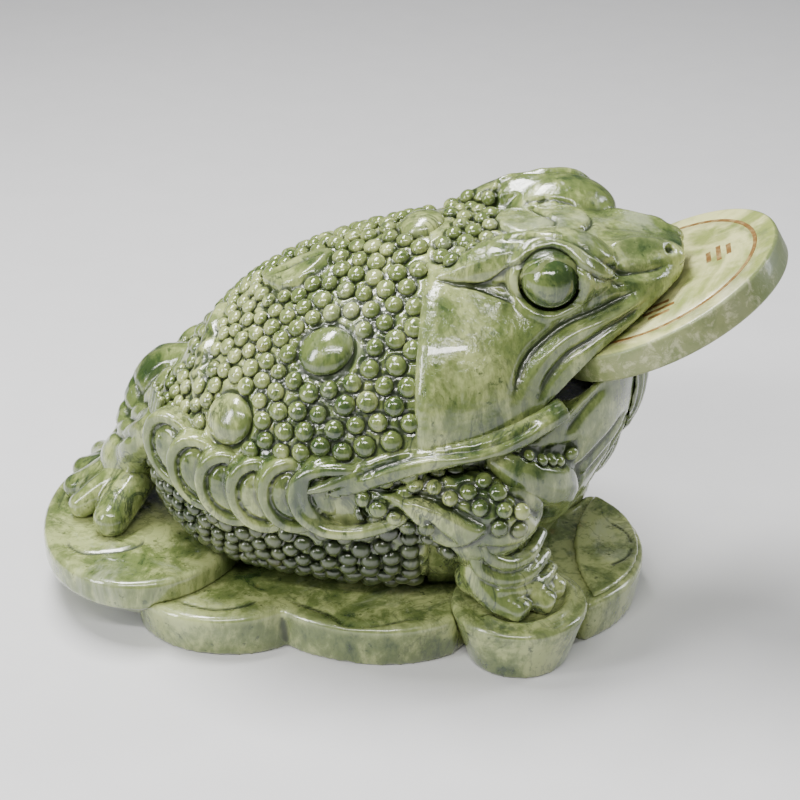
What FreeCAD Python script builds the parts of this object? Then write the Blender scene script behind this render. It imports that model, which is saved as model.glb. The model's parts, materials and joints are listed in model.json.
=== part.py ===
"""A carved jade money toad on a cloud plinth, with a loose stone coin held in its open mouth.

The toad and its plinth are one block of polished serpentine. It is modelled as its carved masses, each a
closed solid in its own node, and neighbouring masses meet face to face. The coin is a separate disc that
rests on the lower lip under the palate, and pulls out along its own slope.

Frame: millimetres, +X towards the snout, +Y to the toad's left, +Z up, origin under the middle of the
object on the plane that the plinth stands on.
"""

import FreeCAD, Part

import math
import os

from FreeCAD import Rotation, Vector

# ---- driving dimensions ----
REACH = 149.0  # from the origin back to the plinth's rear edge, and forward to the coin's tip
SLAB_TOP = 20.0  # the plinth's main step
REAR_TOP = 30.0  # the rear scroll, under the hind foot
REAR_R = Vector(45, 61, 0)  # the rear scroll's half length and half width
FRONT_TOP = 22.0  # the front scroll, under the chin
PAW_TOP = 25.0  # the two scrolls under the forepaws
EDGE = 2.5  # rounding of the plinth's upper edges
FOOT_SHRINK_X = 0.97  # the plinth's wall leans in towards the surface that it stands on
FOOT_SHRINK_Y = 0.93

NECK_X = 14.0  # the crease where the warty back ends and the smooth cheek begins
JAW_Z = 98.0  # the level of the band that parts the cheeks from the chest

COIN_R = 50.0
COIN_T = 12.0
COIN_EDGE = 1.6  # rounding of the coin's rims
COIN_TILT = 29.0  # the coin slopes up towards its outer edge
COIN_GAP = 0.3  # clearance round the coin in the mouth
COIN_PULL = 110.0  # the slot is open this far ahead of the coin

THROAT = (72, 92)  # the hollow under the coin: its middle's x and its floor's height
THROAT_R = (14, 34)  # its half length along X and half width along Y
GILT_R = 41.0  # the gilt ring on the coin's upper face
GILT_W = 1.6
GILT_DEPTH = 0.6
MARK_R = 26.0  # the four plain marks stand on this circle

EYE_R = 11.7
EYE = Vector(59, 36.5, 158)
BROW = Vector(61, 27, 158.5)
BROW_RADII = (23, 16.5, 15)

UP = Vector(0, 0, 1)
LEFT = Vector(0, 1, 0)
AHEAD = Vector(1, 0, 0)
GROUND_LOW, GROUND_HIGH = Vector(-160, -100, -10), Vector(160, 100, 0)  # what lies under a foot's level


# ---- helpers ----
def mirrored(point):
    """The same point on the toad's other side."""
    return Vector(point.x, -point.y, point.z)


def flat(x, y):
    return Vector(x, y, 0)


def closed_curve(points):
    """One smooth closed edge through the points, as a wire."""
    curve = Part.BSplineCurve()
    curve.interpolate(Points=points, PeriodicFlag=True)
    return Part.Wire([curve.toShape()])


def open_curve(points):
    curve = Part.BSplineCurve()
    curve.interpolate(Points=points)
    return curve.toShape()


def power(value, exponent):
    return math.copysign(abs(value) ** exponent, value)


def egg_wire(x, low, high, half_width, count=16):
    """An oval across the body at x, a little wider below its middle than above."""
    middle, half = (low + high) / 2, (high - low) / 2
    points = []
    for i in range(count):
        t = 2 * math.pi * i / count
        across = half_width * math.cos(t) * (1 - 0.06 * math.sin(t))
        points.append(Vector(x, across, middle + half * math.sin(t)))
    return closed_curve(points)


def dome_wire(centre, across, rise, half_width, height, square=2.0, count=12):
    """A dome standing on a straight line: the curve runs over the top from one foot to the other."""
    points = []
    for i in range(count + 1):
        t = math.pi * i / count
        side = half_width * power(math.cos(t), 2 / square)
        points.append(centre + across * side + rise * (height * power(math.sin(t), 2 / square)))
    return Part.Wire([open_curve(points), Part.LineSegment(points[-1], points[0]).toShape()])


def ellipsoid(centre, radii, pitch=0.0, yaw=0.0):
    """An ellipsoid with its long axis pitched up and then turned about Z, in degrees."""
    shape = Part.makeSphere(1.0)
    scale = FreeCAD.Matrix()
    scale.scale(*radii)
    shape = shape.transformGeometry(scale)
    shape.rotate(Vector(), LEFT, -pitch)
    shape.rotate(Vector(), UP, yaw)
    shape.translate(centre)
    return shape


def limb(start, start_r, end, end_r):
    """A round-ended tapered limb: the body of revolution that wraps two spheres."""
    axis = end - start
    length = axis.Length
    lean = math.asin((start_r - end_r) / length)
    a = Vector(start_r * math.cos(lean), 0, start_r * math.sin(lean))
    b = Vector(end_r * math.cos(lean), 0, length + end_r * math.sin(lean))
    half = (math.pi / 2 - lean) / 2
    start_mid = Vector(start_r * math.sin(half + lean), 0, -start_r * math.cos(half + lean))
    end_mid = Vector(end_r * math.sin(half), 0, length + end_r * math.cos(half))
    foot, tip = Vector(0, 0, -start_r), Vector(0, 0, length + end_r)
    edges = [
        Part.Arc(foot, start_mid, a).toShape(),
        Part.LineSegment(a, b).toShape(),
        Part.Arc(b, end_mid, tip).toShape(),
        Part.LineSegment(tip, foot).toShape(),
    ]
    solid = Part.Face(Part.Wire(edges)).revolve(Vector(), UP, 360)
    solid.Placement = FreeCAD.Placement(start, Rotation(UP, axis))
    return solid


def arc_outline(points, bulges, level, shrink_x=1.0, shrink_y=1.0):
    """A closed outline at a level: an arc through each bulge point, from one cusp to the next."""

    def placed(point):
        return Vector(point.x * shrink_x, point.y * shrink_y, level)

    edges = []
    for i, point in enumerate(points):
        after = points[(i + 1) % len(points)]
        edges.append(Part.Arc(placed(point), placed(bulges[i]), placed(after)).toShape())
    return Part.Wire(edges)


def ellipse_outline(centre, radius_x, radius_y, level):
    ellipse = Part.Ellipse(Vector(0, 0, 0), max(radius_x, radius_y), min(radius_x, radius_y))
    wire = Part.Wire([ellipse.toShape()])
    if radius_y > radius_x:
        wire.rotate(Vector(), UP, 90)
    wire.translate(Vector(centre.x, centre.y, level))
    return wire


def round_top(shape, level, radius):
    """Rounds the outer edges that lie in the level plane."""
    edges = [e for e in shape.Edges if all(abs(v.Z - level) < 1e-6 for v in e.Vertexes) and e.Length > 5]
    return shape.makeFillet(radius, edges)


def block(low, high):
    size = high - low
    return Part.makeBox(size.x, size.y, size.z, low)


def biggest(shape):
    """The largest solid of a cut, without the chips that a cut can leave."""
    return max(shape.Solids, key=lambda s: s.Volume)


def save(name, shape):
    """Writes one node, after a look at its soundness."""
    solids = shape.Solids
    sound = all(s.isValid() and s.Volume > 0 for s in solids)
    shape = Part.makeCompound(solids) if len(solids) > 1 else solids[0]
    shape.exportStep(f"parts/{name}.step")
    volume = sum(s.Volume for s in solids) / 1000
    print(f"{name:28s} solids {len(solids)} valid {sound} volume {volume:9.2f} cm3")


# ---- plinth ----
REAR_CUSP, SIDE_CUSP, PAW_CUSP, CHIN_CUSP = flat(-104, -50), flat(-42, -58), flat(27, -59), flat(80, -44)
SIDE_BULGE, MID_BULGE, PAW_HOLLOW, CHIN_BULGE = flat(-74, -68), flat(-7, -70), flat(54, -38), flat(102, 0)
PAW_SCROLL = flat(51.5, -49)
PAW_SCROLL_R = Vector(28, 20, 0)  # the paw scroll's radius at its top and at its foot


def main_slab():
    """The slab with its petals: an arc from each cusp to the next, hollow where a paw scroll fits in."""
    right = [REAR_CUSP, SIDE_CUSP, PAW_CUSP, CHIN_CUSP]
    outline = right + [mirrored(p) for p in reversed(right)]
    right_bulges = [SIDE_BULGE, MID_BULGE, PAW_HOLLOW]
    bulges = right_bulges + [CHIN_BULGE] + [mirrored(p) for p in reversed(right_bulges)]
    bulges.append(flat(REAR_CUSP.x - 10, 0))
    foot = arc_outline(outline, bulges, 0, FOOT_SHRINK_X, FOOT_SHRINK_Y)
    slab = Part.makeLoft([foot, arc_outline(outline, bulges, SLAB_TOP)], True, True)
    return round_top(slab, SLAB_TOP, EDGE)


def plinth():
    """The slab, the three scrolls that stand a little higher round its rim, and the chin's low scroll."""
    foot = ellipse_outline(PAW_SCROLL, PAW_SCROLL_R.y, PAW_SCROLL_R.y, 0)
    rim = ellipse_outline(PAW_SCROLL, PAW_SCROLL_R.x, PAW_SCROLL_R.x, PAW_TOP)
    paw = round_top(Part.makeLoft([foot, rim], True, True), PAW_TOP, EDGE)

    centre = flat(REAR_R.x - REACH, 0)
    rim = ellipse_outline(centre, REAR_R.x, REAR_R.y, REAR_TOP)
    lip = ellipse_outline(centre, REAR_R.x, REAR_R.y, REAR_TOP - 11)
    heel = ellipse_outline(flat(-88, 0), REAR_R.x * 0.66, REAR_R.y * 0.66, 0)
    rear = round_top(Part.makeLoft([lip, rim], True, True), REAR_TOP, EDGE)
    rear = rear.fuse(Part.makeLoft([heel, lip], True, True))

    both_paws = paw.fuse(paw.mirror(Vector(), LEFT))
    slab = biggest(main_slab().cut(both_paws))
    outline = Part.Face(arc_outline([CHIN_CUSP, mirrored(CHIN_CUSP)], [CHIN_BULGE, flat(70, 0)], SLAB_TOP))
    front = outline.makeOffset2D(-EDGE).extrude(UP * (FRONT_TOP - SLAB_TOP))
    front = round_top(front, FRONT_TOP, 0.9)
    return slab, biggest(rear.cut(slab)), biggest(front.cut(both_paws)), paw


# ---- the coin and the mouth that holds it ----
SLIDE = Vector(math.cos(math.radians(COIN_TILT)), 0, math.sin(math.radians(COIN_TILT)))
COIN_UP = Vector(-SLIDE.z, 0, SLIDE.x)
COIN_OVERHANG = (COIN_R - COIN_EDGE) * SLIDE.x + (COIN_T - COIN_EDGE) * SLIDE.z + COIN_EDGE
COIN_TOP = Vector(REACH - COIN_OVERHANG, 0, 142)  # the upper face's middle


def on_coin(u, v, w):
    """A point u along the slide, v to the left and w above the coin's top face."""
    return COIN_TOP + SLIDE * u + LEFT * v + COIN_UP * w


def coin_underside(x):
    """The height of the coin's lower face over a point of the toad's axis."""
    below = on_coin(0, 0, -COIN_T)
    return below.z + (x - below.x) * SLIDE.z / SLIDE.x


def coin_plate(radius, low, high, ahead=0.0):
    """A disc in the coin's frame between two levels, drawn out forwards if asked."""
    disc = Part.makeCylinder(radius, high - low, on_coin(0, 0, low), COIN_UP)
    if ahead:
        corners = [on_coin(0, -radius, low), on_coin(ahead, -radius, low)]
        corners += [on_coin(ahead, radius, low), on_coin(0, radius, low)]
        run = Part.Face(Part.makePolygon(corners + corners[:1])).extrude(COIN_UP * (high - low))
        disc = disc.fuse(run)
    return disc


# ---- the toad's masses ----
def torso_solid():
    """The warty back and belly, from the rump to the neck crease."""
    stations = [
        # x, underside, back, half width
        (-101, 56, 76, 10),
        (-95, 42, 92, 28),
        (-84, 30, 107, 43),
        (-64, 20, 130, 58),
        (-38, 16, 147, 67),
        (-12, 13, 157, 70),
        (NECK_X, 14, 164, 69),
    ]
    body = Part.makeLoft([egg_wire(*s) for s in stations], True, False)
    return biggest(body.cut(block(Vector(-120, -90, -10), Vector(NECK_X + 1, 90, SLAB_TOP))))


def chest_solid():
    """The throat and chest, from the neck crease forward, up to the sloping lower lip."""
    stations = [
        # height, depth ahead of the neck crease, half width
        (SLAB_TOP, 40, 34),
        (35, 50, 46),
        (50, 60, 54),
        (70, 71, 60),
        (90, 79, 62),
        (110, 81, 59),
        (130, 80, 54),
    ]
    wires = [dome_wire(Vector(NECK_X, 0, z), LEFT, AHEAD, w, d) for z, d, w in stations]
    chest = Part.makeLoft(wires, True, False)
    lip_foot, lip_front = Vector(54, -90, 96.5), Vector(92, -90, coin_underside(92) - COIN_GAP)
    slope = lip_front - lip_foot
    ahead = lip_front + slope
    above = [lip_foot, ahead, Vector(ahead.x, -90, 200), Vector(lip_foot.x, -90, 200), lip_foot]
    wedge = Part.Face(Part.makePolygon(above)).extrude(Vector(0, 180, 0))
    chest = chest.cut(wedge)
    return biggest(chest.cut(block(Vector(0, -90, JAW_Z), Vector(lip_foot.x, 90, 200))))


def head_solid():
    """The upper head, from the neck crease to the snout, with its brows. Its underside is the palate."""
    stations = [
        # x, lip height, crown height, half width, squareness
        (NECK_X, JAW_Z, 164, 69, 2.0),
        (22, JAW_Z, 164.5, 67.5, 2.0),
        (32, JAW_Z, 165, 65, 2.0),
        (46, 102, 166, 58, 2.0),
        (59, 111, 167, 50, 2.1),
        (71, 123.5, 166, 45, 2.3),
        (80, 132, 164.5, 41, 2.4),
        (89.5, 139, 164, 35, 2.4),
        (98.5, 145, 162.5, 27, 2.4),
        (106, 148.5, 160.5, 16, 2.2),
        (109.5, 150.5, 157.5, 7, 2.0),
    ]
    wires = [
        dome_wire(Vector(x, 0, lip), LEFT, UP, half_width, top - lip, square)
        for x, lip, top, half_width, square in stations
    ]
    head = Part.makeLoft(wires, True, False)
    for side in (BROW, mirrored(BROW)):
        head = head.fuse(ellipsoid(side, BROW_RADII))
    for y in (-9, 9):
        head = head.fuse(ellipsoid(Vector(101, y, 158), (9, 6, 5), pitch=-12))
    head = head.cut(block(Vector(0, -90, 0), Vector(NECK_X, 90, 200)))
    return biggest(head.cut(block(Vector(0, -90, 0), Vector(160, 90, JAW_Z))))


def mouth_space():
    """What the mouth keeps open: the coin's slot, and the hollow of the throat under it."""
    slot = coin_plate(COIN_R + COIN_GAP, -COIN_T - COIN_GAP, COIN_GAP, COIN_PULL)
    rim = Part.Face(ellipse_outline(flat(THROAT[0], 0), *THROAT_R, THROAT[1]))
    return slot, rim.extrude(UP * 40)


def bar(length, width, u, v, turn=0.0):
    """A bar standing through the coin's upper face, for the gilt marks, turned in the coin's own plane."""
    shape = Part.makeBox(length, width, GILT_DEPTH + 1, Vector(-length / 2, -width / 2, -GILT_DEPTH))
    shape.rotate(Vector(), UP, turn)
    shape.translate(Vector(u, v, 0))
    shape.rotate(Vector(), LEFT, -COIN_TILT)
    shape.translate(COIN_TOP)
    return shape


def coin_and_gilding():
    """The stone coin, and the gilt ring and plain marks sunk into its upper face."""
    coin = coin_plate(COIN_R, -COIN_T, 0)
    coin = coin.makeFillet(COIN_EDGE, [e for e in coin.Edges if e.Closed])
    outer = coin_plate(GILT_R + GILT_W / 2, -GILT_DEPTH, 1)
    inner = coin_plate(GILT_R - GILT_W / 2, -GILT_DEPTH, 1)
    inlays = [outer.cut(inner)]
    for turn in (0, 90, 180, 270):
        ahead, across = math.cos(math.radians(turn)), math.sin(math.radians(turn))
        for step in (-5, 0, 5):
            radius = MARK_R + step
            inlays.append(bar(GILT_W, 13 - abs(step), radius * ahead, radius * across, turn))
    depth = Part.makeBox(200, 200, GILT_DEPTH, Vector(-100, -100, -GILT_DEPTH))
    depth.rotate(Vector(), LEFT, -COIN_TILT)
    depth.translate(COIN_TOP)
    gilding = Part.makeCompound([s.common(depth).Solids[0] for s in inlays])
    return biggest(coin.cut(Part.makeCompound(inlays))), gilding


# ---- limbs, string of coins, bosses ----
def foreleg():
    """The folded foreleg on the toad's right: upper arm back to the elbow, then down to the wrist."""
    upper = limb(Vector(-2, -62, 78), 12, Vector(40, -54, 71), 20)
    lower = limb(Vector(34, -54, 64), 18, Vector(42, -48, 44), 12)
    return upper.fuse(lower)


TOES = [
    # knuckle, radius, tip, radius
    (Vector(34, -53, 37), 8.0, Vector(50, -61, 30), 5.5),
    (Vector(40, -49, 38), 7.5, Vector(60, -52, 30), 5.5),
    (Vector(42, -43, 37), 7.0, Vector(62, -41, 29.5), 5.0),
    (Vector(40, -38, 36), 6.0, Vector(58, -31, 29), 4.5),
]


def forepaw():
    """The four toes of the right forepaw, spread on their scroll."""
    toes = [limb(*toe) for toe in TOES]
    return toes[0].multiFuse(toes[1:])


def hind_leg_and_foot():
    """The single hind leg behind the rump, and its five webbed toes."""
    leg = limb(Vector(-90, 0, 84), 11.5, Vector(-113, 3, 51), 12.5)
    ankle = Vector(-110, 2, 46)
    tips = [
        (Vector(-131, 29, 38), 5.5),
        (Vector(-136, 16, 37), 5.5),
        (Vector(-137, 3, 36), 5.5),
        (Vector(-132, -10, 35), 5.5),
        (Vector(-117, -22, 36), 7.5),
    ]
    toes = [limb(ankle, 10, tip, radius) for tip, radius in tips]
    return leg, toes[0].multiFuse(toes[1:])


STRING = [
    # the coins' centres on the right flank, from the shoulder back to the rump, and each coin's outward turn
    (Vector(-24, -67, 79), -90),
    (Vector(-42, -65, 75), -97),
    (Vector(-58, -60, 74), -106),
    (Vector(-73, -52, 74), -118),
    (Vector(-85, -41, 75), -134),
    (Vector(-94, -26, 77), -152),
]


def coin_string():
    """Overlapping string coins that lie on the right flank, each tipped back under the one ahead of it."""
    radius, thickness, tip = 14.5, 5.0, 10.0
    coins = []
    for centre, facing in STRING:
        turn = math.radians(facing - tip)
        out = Vector(math.cos(turn), math.sin(turn), 0)
        coins.append(Part.makeCylinder(radius, thickness, centre - out * (thickness * 0.3), out))
    return coins[0].multiFuse(coins[1:])


def band():
    """The flat string that runs from the first coin along the cheek to the corner of the mouth."""
    route = [
        # point, half thickness across, half height
        (Vector(-22, -69, 81), 2.5, 3.0),
        (Vector(-6, -70, 88), 4.5, 4.0),
        (Vector(14, -69, 96), 5.5, 4.2),
        (Vector(36, -64, 100.5), 5.5, 4.2),
        (Vector(54, -55, 105), 5.5, 4.5),
        (Vector(66, -48, 110), 5.0, 4.5),
    ]
    wires = []
    for i, (point, across, height) in enumerate(route):
        before, after = route[max(i - 1, 0)][0], route[min(i + 1, len(route) - 1)][0]
        along = (after - before).normalize()
        out = along.cross(UP).normalize()
        top = out.cross(along).normalize()
        ring = []
        for k in range(12):
            t = 2 * math.pi * k / 12
            ring.append(point + out * (across * math.cos(t)) + top * (height * math.sin(t)))
        wires.append(closed_curve(ring))
    return Part.makeLoft(wires, True, False)


BOSSES = [
    # centre, radius across the surface
    (Vector(-24, -48, 129), 9.5),
    (Vector(-61, -50, 101), 10.0),
    (Vector(-24, 48, 129), 9.5),
    (Vector(-61, 50, 101), 10.0),
    (Vector(24, 3, 160), 9.0),
]


def chest_petals():
    """Two overlapping leaf-shaped tiers that hang down the front of the chest."""
    upper = ellipsoid(Vector(88, 3, 98), (11, 19, 25), pitch=-8)
    lower = ellipsoid(Vector(79, 3, 76), (11, 17, 22), pitch=-10)
    return upper, lower


def pair(name, shape):
    """Writes a mass of the right side, and its mirror image for the left."""
    save(f"{name}_right", shape)
    save(f"{name}_left", shape.mirror(Vector(), LEFT))


def main():
    os.makedirs("parts", exist_ok=True)
    slab, rear, front, paw_scroll = plinth()
    torso = torso_solid()
    slot, throat = mouth_space()
    head = biggest(head_solid().cut(slot))
    chest = biggest(chest_solid().cut(slot).cut(throat))
    save("torso", torso)
    save("chest", chest)
    save("plinth_slab", slab)
    save("plinth_rear_scroll", biggest(rear.cut(torso)))
    save("plinth_front_scroll", front)
    pair("plinth_paw_scroll", biggest(paw_scroll.cut(chest)))

    right_eye, left_eye = Part.makeSphere(EYE_R, mirrored(EYE)), Part.makeSphere(EYE_R, EYE)
    head = biggest(head.cut(right_eye).cut(left_eye))
    save("head", head)
    save("eye_right", right_eye)
    save("eye_left", left_eye)

    arm = biggest(foreleg().cut(torso).cut(chest).cut(head))
    paw = biggest(forepaw().cut(block(GROUND_LOW, GROUND_HIGH + UP * PAW_TOP)).cut(chest).cut(arm))
    coins = biggest(coin_string().cut(torso).cut(arm))
    strap = biggest(band().cut(torso).cut(head).cut(chest).cut(arm).cut(coins))
    pair("foreleg", arm)
    pair("forepaw", paw)
    pair("coin_string", coins)
    pair("string_band", strap)

    leg, foot = hind_leg_and_foot()
    leg = biggest(leg.cut(torso))
    foot = biggest(foot.cut(block(GROUND_LOW, GROUND_HIGH + UP * REAR_TOP)).cut(torso).cut(leg))
    save("hind_leg", leg)
    save("hind_foot", foot)

    bosses = [biggest(ellipsoid(c, (r, r, r * 0.9)).cut(torso).cut(head)) for c, r in BOSSES]
    save("back_bosses", Part.makeCompound(bosses))
    upper, lower = chest_petals()
    upper = upper.cut(chest).cut(slot).cut(throat)
    save("chest_petals", Part.makeCompound([biggest(upper), biggest(lower.cut(chest).cut(upper))]))

    coin, gilding = coin_and_gilding()
    save("coin", coin)
    save("coin_gilding", gilding)


main()
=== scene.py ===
# %% [markdown]
# # A carved jade toad and its loose coin
# The real object is one block of green serpentine, roughed out with a saw, cut with round burrs and then
# polished with wax. So every stone piece here starts as a plain mass, gets a fine even skin, and is then
# pushed in and out along drawn lines, as a carver would. Only the coin is a piece of its own.
#
# Lengths in this script are millimetres, and MM turns them into Blender's metres.

import bpy
import bmesh
import json
import math
import random

import numpy as np
from mathutils import Matrix, Vector, noise
from mathutils.bvhtree import BVHTree


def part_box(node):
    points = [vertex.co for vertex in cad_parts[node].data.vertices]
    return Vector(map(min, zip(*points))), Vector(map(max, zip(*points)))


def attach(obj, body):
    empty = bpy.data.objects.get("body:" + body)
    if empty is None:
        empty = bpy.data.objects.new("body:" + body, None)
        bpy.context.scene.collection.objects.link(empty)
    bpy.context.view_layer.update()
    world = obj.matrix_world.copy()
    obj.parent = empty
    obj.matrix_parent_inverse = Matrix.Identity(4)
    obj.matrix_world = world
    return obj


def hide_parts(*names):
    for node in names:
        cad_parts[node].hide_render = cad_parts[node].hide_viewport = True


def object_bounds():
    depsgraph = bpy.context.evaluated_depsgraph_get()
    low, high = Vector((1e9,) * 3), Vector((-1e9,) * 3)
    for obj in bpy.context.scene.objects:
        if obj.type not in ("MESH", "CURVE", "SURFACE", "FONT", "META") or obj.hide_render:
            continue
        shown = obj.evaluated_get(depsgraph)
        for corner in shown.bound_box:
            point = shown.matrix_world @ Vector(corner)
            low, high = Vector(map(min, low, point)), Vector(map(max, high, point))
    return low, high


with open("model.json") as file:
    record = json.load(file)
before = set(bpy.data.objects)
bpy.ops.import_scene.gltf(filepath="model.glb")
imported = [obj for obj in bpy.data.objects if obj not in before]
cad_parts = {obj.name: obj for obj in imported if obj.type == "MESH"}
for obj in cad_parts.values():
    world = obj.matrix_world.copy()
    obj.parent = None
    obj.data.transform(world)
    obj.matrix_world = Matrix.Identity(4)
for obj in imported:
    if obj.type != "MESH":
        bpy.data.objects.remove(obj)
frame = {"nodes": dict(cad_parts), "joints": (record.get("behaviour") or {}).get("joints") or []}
cad_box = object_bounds()
nodes = frame["nodes"]
MM = 0.001


# %% [markdown]
# ## Measures taken from the frame
# A node's box says where its mass is, so the details that go on it are placed from these and from a few
# points on the surface. The right side is drawn, and the left side is its mirror image.


# %% Places
def node_box(name):
    """A node's lowest and highest corner in millimetres."""
    low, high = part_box(name)
    return np.array(low) / MM, np.array(high) / MM


def middle_of(name):
    """The middle of a node's box in millimetres."""
    low, high = node_box(name)
    return (low + high) / 2


EYE = middle_of("eye_right")
EYE_R = (node_box("eye_right")[1] - node_box("eye_right")[0])[2] / 2
NECK_X = node_box("torso")[1][0]
SLAB_TOP = node_box("plinth_slab")[1][2]
PAW_TOP = node_box("plinth_paw_scroll_right")[1][2]
print("eye", EYE.round(1), "radius", round(EYE_R, 1), "neck", round(float(NECK_X), 1))


# %% [markdown]
# ## Smooth lines through a few points
# A carved line is drawn with as few points as it needs. A Catmull-Rom curve passes through every one of
# them, which is easier to place than a Bezier curve with its handles.


# %% Lines
GAP = 0.7


def through(points, gap=GAP, closed=False):
    """Samples about gap millimetres apart on a smooth curve through the points."""
    p = np.array(points, float)
    p = np.vstack([p[-1:], p, p[:2]]) if closed else np.vstack([2 * p[0] - p[1], p, 2 * p[-1] - p[-2]])
    samples = []
    for a, b, c, d in zip(p, p[1:], p[2:], p[3:]):
        count = max(int(np.linalg.norm(c - b) / gap), 1)
        t = (np.arange(count) / count)[:, None]
        samples.append(
            0.5 * (2 * b + (c - a) * t + (2 * a - 5 * b + 4 * c - d) * t**2 + (3 * b - a - 3 * c + d) * t**3)
        )
    if not closed:
        samples.append(p[-2:-1])
    return np.vstack(samples)


def eased(t):
    """Rises smoothly from 0 to 1, level at both ends."""
    t = np.clip(t, 0, 1)
    return t * t * (3 - 2 * t)


def run_out(along, taper):
    """How strong a line is along its length, from 0 to 1, so that it fades out at both ends."""
    return eased(np.minimum(along, 1 - along) / taper) if taper else 1


def within_box(points):
    """Points in metres, kept inside the frame's box, so that carving can't make the object larger."""
    return np.clip(points, *np.array(cad_box))


sample_line = through([(0, 0, 0), (10, 5, 0), (20, 0, 0)])
print("a line through 3 points has", len(sample_line), "samples")


# %% [markdown]
# ## Two sides from one drawing
# A carver copies a form from one side of the block to the other with callipers. Here, points are drawn for
# the right side, where Y is negative, and the left side takes them with Y turned round. The mirror could be
# left to a modifier, but the stone is not perfectly even, so the two sides are worked one after the other.


# %% Sides
def mirrored(points):
    """The same points on the toad's other side."""
    return np.array(points, float) * (1, -1, 1)


def on_side(side, strokes):
    """Strokes of (x, y, z, radius) that are drawn for the right side, laid on the side asked for."""
    flip = -1 if side == "left" else 1
    return [[(x, flip * y, z, radius) for x, y, z, radius in stroke] for stroke in strokes]


SIDES = (("right", np.array), ("left", mirrored))
print("sides", [side for side, place in SIDES])
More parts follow.
